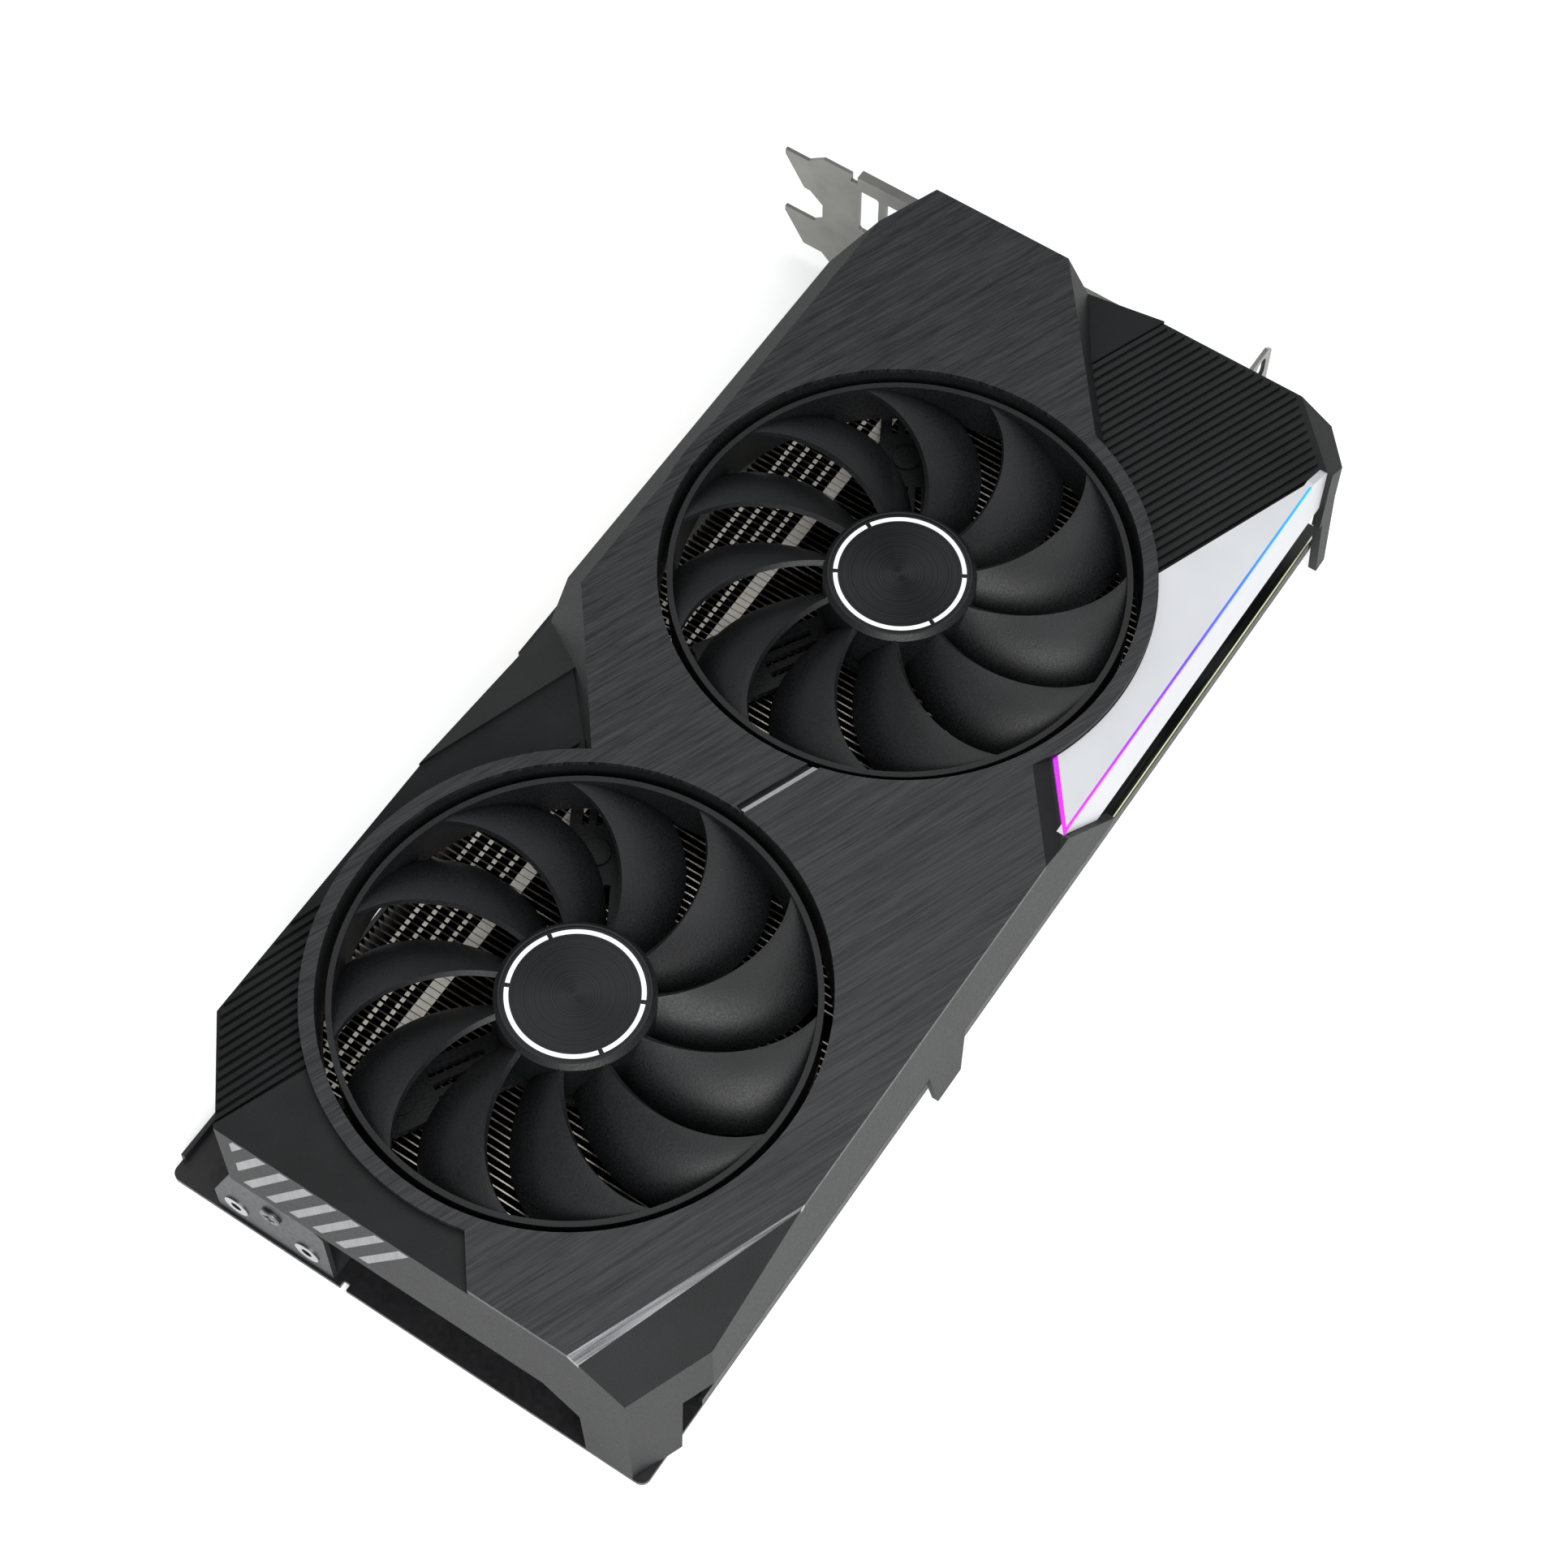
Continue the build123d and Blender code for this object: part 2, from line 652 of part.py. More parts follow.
with BuildPart() as rotor:
    for step in range(blade_count):
        add(blade.part.rotate(Axis.Z, step * 360 / blade_count))
    with BuildSketch(Plane.XY.offset(rotor_foot)):
        Circle(rotor_radius)
        Circle(rotor_radius - rotor_ring, mode=Mode.SUBTRACT)
    extrude(amount=rotor_height)
    with BuildSketch(Plane.XZ):
        with BuildLine():
            Polyline(
                (0, rotor_foot - 0.6), (hub_radius, rotor_foot - 0.6), (hub_radius, z_hub - 0.8),
                (hub_radius - 1.0, z_hub + 0.2), (0, z_hub + 0.2), close=True,
            )
        make_face()
    revolve(axis=Axis.Z)
    with BuildSketch(Plane.XZ):
        with BuildLine():
            Polyline(
                (2.6, rotor_foot - 1), (magnet_outer, rotor_foot - 1), (magnet_outer, z_hub - 2.2),
                (2.6, z_hub - 2.2), close=True,
            )
        make_face()
    revolve(axis=Axis.Z, mode=Mode.SUBTRACT)
    with BuildSketch(Plane.XY.offset(rotor_foot - 1)):
        Circle(2.7)
    extrude(amount=rotor_height - 3.0, mode=Mode.SUBTRACT)
    with BuildSketch(Plane.XY.offset(rotor_foot)):
        Circle(shaft_radius)
    extrude(amount=rotor_height - 1.2, mode=Mode.SUBTRACT)
    with BuildSketch(Plane.XY.offset(z_hub - label_thickness)):
        Circle(label_radius)
    extrude(amount=2, mode=Mode.SUBTRACT)

with BuildPart() as hub_label:
    with BuildSketch(Plane.XY.offset(z_hub - label_thickness)):
        Circle(label_radius - 0.05)
    extrude(amount=label_thickness)

with BuildPart() as shaft:
    with BuildSketch(Plane.XY.offset(motor_foot + 1.2)):
        Circle(shaft_radius)
    extrude(amount=z_hub - 1.2 - motor_foot - 1.2)

with BuildPart() as magnet_ring:
    with BuildSketch(Plane.XY.offset(rotor_foot + 0.6)):
        Circle(magnet_outer)
        Circle(magnet_inner, mode=Mode.SUBTRACT)
    extrude(amount=rotor_height - 3.4)

pole_count = 6
with BuildPart() as stator:
    with BuildSketch(Plane.XY.offset(rotor_foot + 1.6)):
        Circle(stator_radius)
        Circle(stator_radius - 1.6, mode=Mode.SUBTRACT)
        with PolarLocations(stator_radius - 0.6, pole_count, start_angle=180 / pole_count):
            Rectangle(4, 1.2, mode=Mode.SUBTRACT)
        Circle(tube_radius + 2.2)
        with PolarLocations(tube_radius + 3.6, pole_count):
            Rectangle(7.0, 2.4)
        Circle(tube_radius, mode=Mode.SUBTRACT)
    extrude(amount=rotor_height - 6.2)

with BuildPart() as coils:
    with BuildSketch(Plane.XY.offset(rotor_foot + 1.0)):
        with PolarLocations(tube_radius + 4.0, pole_count):
            Rectangle(3.0, 4.0)
    extrude(amount=rotor_height - 5.0)
    add(stator.part, mode=Mode.SUBTRACT)

arm_width = 12.0
arm_slot = 1.3
with BuildPart() as fan_frame:
    with BuildSketch(Plane.XY.offset(motor_foot)):
        Circle(hub_radius + 1.0)
        for angle in ear_angles:
            with Locations(Location((0, 0, 0), (0, 0, angle))):
                with Locations((ear_radius / 2, 0)):
                    Rectangle(ear_radius, arm_width)
                with Locations((38.0, -3.0)):
                    Rectangle(10.0, arm_width + 4.0)
                with Locations((ear_radius, 0)):
                    Circle(3.4)
        Circle(opening_radius, mode=Mode.INTERSECT)
        for angle in ear_angles:
            with Locations(Location((0, 0, 0), (0, 0, angle))):
                with Locations((ear_radius - 1.6, 0)):
                    Rectangle(3.2 + 3.4, 6.8)
                with Locations((ear_radius, 0)):
                    Circle(3.4)
                with Locations(*[(25.0, 2.9 * step) for step in (-1, 0, 1)]):
                    Rectangle(12.0, arm_slot, mode=Mode.SUBTRACT)
                with Locations(*[(47.0, 2.9 * step) for step in (-1, 0, 1)]):
                    Rectangle(5.0, arm_slot, mode=Mode.SUBTRACT)
                with Locations((ear_radius, 0)):
                    Circle(1.2, mode=Mode.SUBTRACT)
    extrude(amount=frame_thickness)
    with BuildSketch(Plane.XY.offset(motor_foot + frame_thickness)):
        for angle in ear_angles:
            with Locations(along((0, 0), angle, 38.0)):
                Circle(3.0)
    extrude(amount=0.7)
    with BuildSketch(Plane.XY.offset(motor_foot)):
        Circle(tube_radius)
    extrude(amount=rotor_height - 1.0)
    with BuildSketch(Plane.XY.offset(motor_foot + 0.8)):
        Circle(bearing_radius)
    extrude(amount=rotor_height, mode=Mode.SUBTRACT)

with BuildPart() as bearings:
    with BuildSketch(Plane.XY.offset(motor_foot + 1.4)):
        Circle(bearing_radius)
        Circle(shaft_radius + bearing_clearance, mode=Mode.SUBTRACT)
    extrude(amount=2.3)
    with BuildSketch(Plane.XY.offset(motor_foot + rotor_height - 3.4)):
        Circle(bearing_radius)
        Circle(shaft_radius + bearing_clearance, mode=Mode.SUBTRACT)
    extrude(amount=2.3)

fan_pieces = {
    "rotor": rotor, "hub_label": hub_label, "fan_shaft": shaft, "magnet_ring": magnet_ring,
    "stator": stator, "motor_coils": coils, "fan_frame": fan_frame, "fan_bearings": bearings,
}
finished = {}
for name, centre, turn in zip(fan_names, fan_centres, blade_starts):
    for kind, piece in fan_pieces.items():
        part = piece.part.rotate(Axis.Z, turn) if kind == "rotor" else piece.part
        finished[f"{name}_{kind}"] = part.moved(Location((centre[0], centre[1], 0)))

with BuildPart() as fan_screws:
    with BuildSketch(Plane.XY.offset(motor_foot - 1.1)):
        with Locations(*ears):
            Circle(2.1)
    extrude(amount=1.1)
    with BuildSketch(Plane.XY.offset(motor_foot)):
        with Locations(*ears):
            Circle(1.1)
    extrude(amount=frame_thickness + 5.0)
fan_screws.part.label = "fan_screws"

# ---------------------------------------------------------------- cooler
fin_low = fan_y - 47.7
fin_high = fan_y + 47.0
fin_foot = z_board_top + 6.2
tail_fin_foot = backplate_thickness + 3.6
block_gap = 3.0
die_centre = (fan_x[0] - 3.0, fan_y - 3.0)
pipe_places = [-21.0, -7.0, 7.0, 21.0]
pipe_level = fin_foot + pipe_radius
front_start = fan_mid - 112.0
rear_end = fan_mid + 107.0
block_split = board_end + 2.0


def fin_row(start, end, foot):
    """A row of thin upright plates across the card."""
    count = int((end - start) / fin_pitch)
    with BuildPart() as row:
        with BuildSketch(Plane.XY.offset(foot)):
            with Locations(*[(start + fin_pitch * step, (fin_low + fin_high) / 2) for step in range(count)]):
                Rectangle(fin_thickness, fin_high - fin_low)
        extrude(amount=fin_top - foot)
    return row.part


finished["front_fins"] = fin_row(front_start, block_split, fin_foot)
finished["rear_fins"] = fin_row(block_split + block_gap, rear_end, tail_fin_foot)

with BuildPart() as heat_pipes:
    for place in pipe_places:
        start = (front_start - 2.5, die_centre[1] + place, pipe_level)
        rise = (block_split - 6, die_centre[1] + place, pipe_level)
        crest = (block_split + 22, die_centre[1] + place, pipe_level + 5)
        end = (rear_end + 1.0, die_centre[1] + place, pipe_level + 5)
        with BuildLine() as route:
            FilletPolyline(start, rise, crest, end, radius=20)
        with BuildSketch(Plane(origin=start, z_dir=(1, 0, 0))):
            Circle(pipe_radius)
        sweep(path=route.wires()[0])
heat_pipes.part.label = "heat_pipes"

cold_size = (62.0, 58.0)
spring_screw_radius = 1.5
spring_reach = (26.0, 23.0)
spring_screws_at = [
    (die_centre[0] + spring_reach[0] * side, die_centre[1] + spring_reach[1] * end)
    for side in (-1, 1)
    for end in (-1, 1)
]
package_size = (40.0, 34.0)
package_thickness = 1.2
die_size = (23.0, 17.0)
die_thickness = 0.8
plate_foot = z_board_top + package_thickness + die_thickness
with BuildPart() as cold_plate:
    with BuildSketch(Plane.XY.offset(plate_foot)):
        with Locations(die_centre):
            RectangleRounded(*cold_size, 3)
    extrude(amount=fin_foot - plate_foot)
    with BuildSketch(Plane.XY.offset(plate_foot)):
        with Locations(*spring_screws_at):
            Circle(spring_screw_radius)
    extrude(amount=2.6, mode=Mode.SUBTRACT)
cold_plate.part.label = "cold_plate"

with BuildPart() as gpu_package:
    with BuildSketch(Plane.XY.offset(z_board_top)):
        with Locations(die_centre):
            Rectangle(*package_size)
    extrude(amount=package_thickness)
gpu_package.part.label = "gpu_package"

with BuildPart() as gpu_die:
    with BuildSketch(Plane.XY.offset(z_board_top + package_thickness)):
        with Locations(die_centre):
            Rectangle(*die_size)
    extrude(amount=die_thickness)
gpu_die.part.label = "gpu_die"

memory_height = 1.1
memory_places = [(die_centre[0] + 14 * side, die_centre[1] + 40 * end) for side in (-1, 1) for end in (-1, 1)]
memory_places += [(die_centre[0] + 41 * side, die_centre[1] + 15 * end) for side in (-1, 1) for end in (-1, 1)]
with BuildPart() as memory_chips:
    with BuildSketch(Plane.XY.offset(z_board_top)):
        with Locations(*memory_places):
            Rectangle(13.5, 12.0)
    extrude(amount=memory_height)
memory_chips.part.label = "memory_chips"

pad_thickness = 1.5
with BuildPart() as memory_pads:
    with BuildSketch(Plane.XY.offset(z_board_top + memory_height)):
        with Locations(*memory_places):
            Rectangle(12.5, 11.0)
    extrude(amount=pad_thickness)
memory_pads.part.label = "memory_pads"

spread_foot = z_board_top + memory_height + pad_thickness
with BuildPart() as spreader:
    with BuildSketch(Plane.XY.offset(spread_foot)):
        with Locations(die_centre):
            Rectangle(100, 96)
            Rectangle(cold_size[0] + 2 * fit, cold_size[1] + 2 * fit, mode=Mode.SUBTRACT)
    extrude(amount=fin_foot - spread_foot)
spreader.part.label = "spreader_plate"

# ---------------------------------------------------------------- board
board_left = x_left + 0.5
board_low = y_low - 2.9
board_high = y_top - 4.7
finger_low = y_tip + 15.6
key_x = x_bracket + 58.0
finger_start = key_x - 12.6
finger_end = key_x + 72.3
board_holes = [place for place in posts if place[0] < board_end]
socket_rows = [fan_y - 46.0 + 23.0 * step for step in range(4)]
tab_rows = [socket_rows[0] + 11.5, socket_rows[2] + 11.5]
tab_reach = 9.0
tab_screws_at = [(x_left + tab_reach - 3.0, row) for row in tab_rows]
tab_screw_radius = 1.25

with BuildPart() as board:
    with BuildSketch(Plane.XY.offset(z_board)):
        with BuildLine():
            Polyline(
                (board_left, board_low), (finger_start, board_low), (finger_start, finger_low + 1),
                (finger_start + 1, finger_low), (finger_end - 1, finger_low), (finger_end, finger_low + 1),
                (finger_end, board_low - 1.5), (finger_end + 2.4, board_low - 1.5),
                (finger_end + 2.4, finger_low + 2.5), (finger_end + 6.6, finger_low + 4.5),
                (finger_end + 6.6, board_low), (board_end, board_low), (board_end, board_high),
                (board_left, board_high), close=True,
            )
        make_face()
        with Locations((key_x, finger_low)):
            SlotCenterToCenter(12.0, 1.9, rotation=90, mode=Mode.SUBTRACT)
        with Locations(*spring_screws_at):
            Circle(1.7, mode=Mode.SUBTRACT)
        with Locations(*board_holes):
            Circle(1.6, mode=Mode.SUBTRACT)
        with Locations(*tab_screws_at):
            Circle(tab_screw_radius, mode=Mode.SUBTRACT)
    extrude(amount=board_thickness)
board.part.label = "board"

contact_thickness = 0.06
with BuildPart() as edge_contacts:
    for level in (z_board - contact_thickness, z_board_top):
        with BuildSketch(Plane.XY.offset(level)):
            with BuildLine():
                Polyline(
                    (finger_start + 0.8, finger_low + 1.2), (key_x - 1.6, finger_low + 1.2),
                    (key_x - 1.6, finger_low + 5.8), (finger_start + 0.8, finger_low + 5.8), close=True,
                )
            make_face()
            with BuildLine():
                Polyline(
                    (key_x + 1.6, finger_low + 1.2), (finger_end - 0.8, finger_low + 1.2),
                    (finger_end - 0.8, finger_low + 5.8), (key_x + 1.6, finger_low + 5.8), close=True,
                )
            make_face()
        extrude(amount=contact_thickness)
edge_contacts.part.label = "edge_contacts"

choke_x = board_end - 18.0
power_rows = [fan_y - 36.0 + 11.5 * step for step in range(6)]
with BuildPart() as chokes:
    with BuildSketch(Plane.XY.offset(z_board_top)):
        with Locations(*[(choke_x, row) for row in power_rows]):
            RectangleRounded(8.0, 8.0, 1.0)
    extrude(amount=4.6)
chokes.part.label = "chokes"

with BuildPart() as power_stages:
    with BuildSketch(Plane.XY.offset(z_board_top)):
        with Locations(*[(choke_x + 8.6, row) for row in power_rows]):
            Rectangle(5.0, 6.0)
    extrude(amount=1.0)
power_stages.part.label = "power_stages"

with BuildPart() as capacitors:
    with BuildSketch(Plane.XY.offset(z_board_top)):
        with Locations(*[(choke_x - 8.8, row) for row in power_rows]):
            Circle(3.1)
    extrude(amount=5.6)
capacitors.part.label = "capacitors"

# 8-pin supply socket: two rows of four cells, open towards the top edge
socket_wide = 18.8
socket_deep = 10.0
socket_tall = 9.6
cell = 3.55
cell_pitch = 4.2
socket_x = fan_mid + 1.0
socket_face = board_high + 0.4
cells = [
    (socket_x + cell_pitch * (column - 1.5), z_board_top + socket_tall / 2 + cell_pitch * (row - 0.5))
    for column in range(4)
    for row in range(2)
]
front_of_socket = Plane.XZ.offset(-socket_face)
with BuildPart() as power_socket:
    with BuildSketch(front_of_socket):
        with Locations((socket_x, z_board_top + socket_tall / 2)):
            Rectangle(socket_wide, socket_tall)
        with Locations((socket_x, z_board_top + socket_tall + 0.7)):
            Rectangle(5.0, 1.4)
    extrude(amount=socket_deep)
    with BuildSketch(front_of_socket):
        with Locations(*cells):
            Rectangle(cell, cell)
    extrude(amount=socket_deep - 1.6, mode=Mode.SUBTRACT)
power_socket.part.label = "power_socket"

with BuildPart() as power_pins:
    with BuildSketch(front_of_socket.offset(1.6)):
        with Locations(*cells):
            Rectangle(1.1, 1.1)
    extrude(amount=socket_deep - 3.2)
power_pins.part.label = "power_pins"

header_places = [(board_end - 6.0, fan_y - 52.0), (board_end - 6.0, fan_y - 45.0)]
with BuildPart() as fan_headers:
    with BuildSketch(Plane.XY.offset(z_board_top)):
        with Locations(*header_places):
            Rectangle(7.0, 4.6)
    extrude(amount=3.4)
fan_headers.part.label = "fan_headers"

# ---------------------------------------------------------------- bracket and sockets
bracket_low = 0.4
bracket_top = bracket_low + bracket_width
tongue_tops = [bracket_top - 3.2, bracket_top - 3.2 - slot_pitch]
neck_y = y_tip + 10.3
flange_y = y_tip + bracket_height
display_kinds = [(16.6, 5.4), (16.6, 5.4), (16.6, 5.4), (14.6, 5.0)]
vent_count = 13
vent_pitch = 7.1
vent_height = 5.1

outward = Plane(origin=(x_bracket, 0, 0), x_dir=(0, 1, 0), z_dir=(1, 0, 0))
with BuildPart() as io_bracket:
    with BuildSketch(outward):
        with BuildLine():
            Polyline(
                (flange_y, bracket_low), (flange_y, bracket_top), (neck_y, bracket_top),
                (neck_y - 4.1, tongue_tops[0]), (y_tip, tongue_tops[0]),
                (y_tip, tongue_tops[0] - 1.5), (y_tip + 5.2, tongue_tops[0] - tongue_width),
                (neck_y - 3.5, tongue_tops[0] - tongue_width), (neck_y, tongue_tops[0] - tongue_width - 3.0),
                (neck_y, tongue_tops[1] + 2.0), (neck_y - 2.5, tongue_tops[1]),
                (y_tip, tongue_tops[1]), (y_tip, tongue_tops[1] - 1.5),
                (y_tip + 5.2, tongue_tops[1] - tongue_width),
                (neck_y, tongue_tops[1] - tongue_width), (neck_y + 5.0, bracket_low), close=True,
            )
        make_face()
        with Locations(*[(neck_y + 12.45 + vent_pitch * step, bracket_top - 11.2) for step in range(vent_count)]):
            RectangleRounded(vent_height, 13.8, 0.8, mode=Mode.SUBTRACT)
        for row, size in zip(socket_rows, display_kinds):
            with Locations((row, z_board_top + size[1] / 2)):
                Rectangle(size[0] + 0.8, size[1] + 0.8, mode=Mode.SUBTRACT)
        with Locations((neck_y + 8.35, bracket_top)):
            Rectangle(1.7, 4.8, mode=Mode.SUBTRACT)
    extrude(amount=bracket_thickness)
    # Stiffening lip turned out along the front edge
    with BuildSketch(Plane.XY.offset(bracket_top - bracket_thickness)):
        with BuildLine():
            Polyline(
                (x_bracket, neck_y + 9.2), (x_bracket - 1.5, neck_y + 9.2),
                (x_bracket - 1.5, flange_y), (x_bracket, flange_y), close=True,
            )
        make_face()
    extrude(amount=bracket_thickness)
    # Screw flange with an open notch for each slot
    with BuildSketch(Plane.XZ.offset(-flange_y)):
        with BuildLine():
            Polyline(
                (x_bracket + bracket_thickness, bracket_low), (x_bracket + bracket_thickness, bracket_top),
                (x_bracket - flange_reach + 2, bracket_top), (x_bracket - flange_reach, bracket_top - 2),
                (x_bracket - flange_reach, bracket_low + 2), (x_bracket - flange_reach + 2, bracket_low),
                close=True,
            )
        make_face()
        with Locations(*[(x_bracket - 7.0, top - 2.2) for top in tongue_tops]):
            SlotCenterToCenter(3.0, 4.4, rotation=90, mode=Mode.SUBTRACT)
    extrude(amount=bracket_thickness)
    # Tabs folded in over the board, each with a screw hole
    with BuildSketch(Plane.XY.offset(z_board_top)):
        with Locations(*[((x_bracket + x_left + tab_reach) / 2, row) for row in tab_rows]):
            Rectangle(x_left + tab_reach - x_bracket, 5.0)
        with Locations(*tab_screws_at):
            Circle(tab_screw_radius, mode=Mode.SUBTRACT)
    extrude(amount=bracket_thickness)
io_bracket.part.label = "io_bracket"

with BuildPart() as display_sockets:
    for row, size in zip(socket_rows, display_kinds):
        with BuildSketch(outward.offset(-0.6)):
            with Locations((row, z_board_top + size[1] / 2)):
                Rectangle(*size)
                Rectangle(size[0] - 1.0, size[1] - 1.0, mode=Mode.SUBTRACT)
        extrude(amount=17.0)
        with BuildSketch(outward.offset(14.0)):
            with Locations((row, z_board_top + size[1] / 2)):
                Rectangle(size[0] - 0.4, size[1] - 0.4)
        extrude(amount=2.4)
display_sockets.part.label = "display_sockets"

with BuildPart() as socket_tongues:
    for row, size in zip(socket_rows, display_kinds):
        with BuildSketch(outward.offset(1.6)):
            with Locations((row, z_board_top + size[1] / 2 + 0.4)):
                Rectangle(size[0] - 3.6, 1.3)
        extrude(amount=12.4)
socket_tongues.part.label = "socket_tongues"

with BuildPart() as bracket_screws:
    with BuildSketch(Plane.XY.offset(z_board_top + bracket_thickness)):
        with Locations(*tab_screws_at):
            Circle(2.1)
    extrude(amount=1.2)
    with BuildSketch(Plane.XY.offset(z_board)):
        with Locations(*tab_screws_at):
            Circle(tab_screw_radius)
    extrude(amount=board_thickness + bracket_thickness)
bracket_screws.part.label = "bracket_screws"

# ---------------------------------------------------------------- backplate
plate_left = x_left + 0.2
plate_low = y_low - 2.6
plate_high = y_top - 4.5
vent_rows = 7
head_depth = 0.8
with BuildPart() as backplate:
    with BuildSketch(Plane.XY):
        with Locations(((plate_left + x_tail) / 2, (plate_low + plate_high) / 2)):
            RectangleRounded(x_tail - plate_left, plate_high - plate_low, 2.0)
        with Locations((die_centre)):
            Rectangle(62, 56, mode=Mode.SUBTRACT)
        with Locations((x_tail, fan_y - 16.3)):
            Rectangle(3.0, 1.6, mode=Mode.SUBTRACT)
        with Locations(Location((fan_x[1] + 4, fan_y, 0), (0, 0, -diagonal))):
            with GridLocations(0, 8.5, 1, vent_rows):
                SlotOverall(52, 4.0, mode=Mode.SUBTRACT)
        with Locations(*posts):
            Circle(post_bore + 0.15, mode=Mode.SUBTRACT)
    extrude(amount=backplate_thickness)
    with BuildSketch(Plane.XY):
        with Locations(*posts):
            Circle(2.5)
    extrude(amount=head_depth, mode=Mode.SUBTRACT)
    with BuildSketch(Plane.XY.offset(backplate_thickness)):
        with Locations(*board_holes):
            Circle(3.4)
            Circle(post_bore + 0.15, mode=Mode.SUBTRACT)
        # Folded rims along the two long edges
        with Locations(((plate_left + x_tail) / 2 - 8.0, plate_high - 0.5)):
            Rectangle(x_tail - plate_left - 24, 1.0)
        with Locations(((plate_left + x_tail) / 2, plate_low + 0.5)):
            Rectangle(x_tail - plate_left - 8, 1.0)
    extrude(amount=board_gap)
backplate.part.label = "backplate"

with BuildPart() as backplate_screws:
    for place in posts:
        with BuildSketch(Plane.XY):
            with Locations(place):
                Circle(2.4)
        extrude(amount=head_depth)
        with BuildSketch(Plane.XY.offset(head_depth)):
            with Locations(place):
                Circle(post_bore)
        extrude(amount=z_board_top + 2.6)
backplate_screws.part.label = "backplate_screws"

with BuildPart() as cross_bracket:
    with BuildSketch(Plane.XY.offset(z_board - 1.6)):
        for turn in (-1, 1):
            cross = turn * degrees(atan2(spring_reach[1], spring_reach[0]))
            with Locations(Location((die_centre[0], die_centre[1], 0), (0, 0, cross))):
                SlotOverall(2 * Vector(*spring_reach).length + 7.5, 7.5)
        with Locations(die_centre):
            Rectangle(20, 20)
            Rectangle(11, 11, mode=Mode.SUBTRACT)
        with Locations(*spring_screws_at):
            Circle(spring_screw_radius + 0.1, mode=Mode.SUBTRACT)
    extrude(amount=1.2)
cross_bracket.part.label = "cross_bracket"

with BuildPart() as spring_screws:
    with BuildSketch(Plane.XY.offset(z_board - 2.6)):
        with Locations(*spring_screws_at):
            Circle(2.6)
    extrude(amount=1.0)
    with BuildSketch(Plane.XY.offset(z_board - 1.6)):
        with Locations(*spring_screws_at):
            Circle(spring_screw_radius)
    extrude(amount=plate_foot + 2.6 - z_board + 1.6)
spring_screws.part.label = "spring_screws"

# ---------------------------------------------------------------- tail brace
with BuildPart() as tail_brace:
    with BuildSketch(brace_plane):
        with BuildLine():
            Polyline(
                (brace_high, backplate_thickness), (brace_high, brace_top - 4.0), (brace_high - 4, brace_top),
                (brace_low + 6.6, brace_top), (brace_low, backplate_thickness + 8), (brace_low, backplate_thickness),
                close=True,
            )
        make_face()
        with Locations(*insert_places):
            Circle(2.3, mode=Mode.SUBTRACT)
        with Locations(brace_screw_at):
            Circle(brace_screw_radius, mode=Mode.SUBTRACT)
    extrude(amount=-brace_thickness)
    with BuildSketch(Plane.XY.offset(backplate_thickness)):
        with Locations((brace_x - 5.0, (brace_low + brace_high) / 2)):
            Rectangle(10.0, brace_high - brace_low)
    extrude(amount=brace_thickness)
tail_brace.part.label = "tail_brace"

with BuildPart() as threaded_inserts:
    with BuildSketch(brace_plane.offset(0.4)):
        with Locations(*insert_places):
            Circle(2.9)
            Circle(insert_bore, mode=Mode.SUBTRACT)
    extrude(amount=-0.4)
    with BuildSketch(brace_plane):
        with Locations(*insert_places):
            Circle(2.3)
            Circle(insert_bore, mode=Mode.SUBTRACT)
    extrude(amount=-3.4)
threaded_inserts.part.label = "threaded_inserts"

with BuildPart() as brace_screw:
    with BuildSketch(brace_plane):
        with Locations(brace_screw_at):
            Circle(2.6)
    extrude(amount=1.0)
    with BuildSketch(brace_plane):
        with Locations(brace_screw_at):
            Circle(brace_screw_radius)
    extrude(amount=-4.5)
brace_screw.part.label = "brace_screw"

# ---------------------------------------------------------------- files
pieces = [
    shroud, face_plate, light_panel, light_guide, silver_strip, centre_trim, tail_stripes,
    fan_screws, heat_pipes, cold_plate, gpu_package, gpu_die, memory_chips, memory_pads, spreader,
    board, edge_contacts, chokes, power_stages, capacitors, power_socket, power_pins, fan_headers,
    io_bracket, bracket_screws, display_sockets, socket_tongues, backplate, backplate_screws,
    cross_bracket, spring_screws, tail_brace, threaded_inserts, brace_screw,
]
for piece in pieces:
    finished[piece.part.label] = piece.part
for name, piece in finished.items():
    piece.label = name
    export_step(piece, f"parts/{name}.step")
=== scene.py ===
# %% [markdown]
# # A two-fan graphics card
# A graphics card is a sandwich: a backplate, a board, a finned cooler, and a moulded shroud
# that holds two fans over the fins. The solids arrive finished, as a fixed frame in metres.
# Everything here adds what solids leave out: finishes, small repeated parts and light.
# The card lies on its backplate, with +X from the slot bracket to the tail.

# %% Load the frame
import math

import bmesh
import bpy
from mathutils import Matrix, Vector


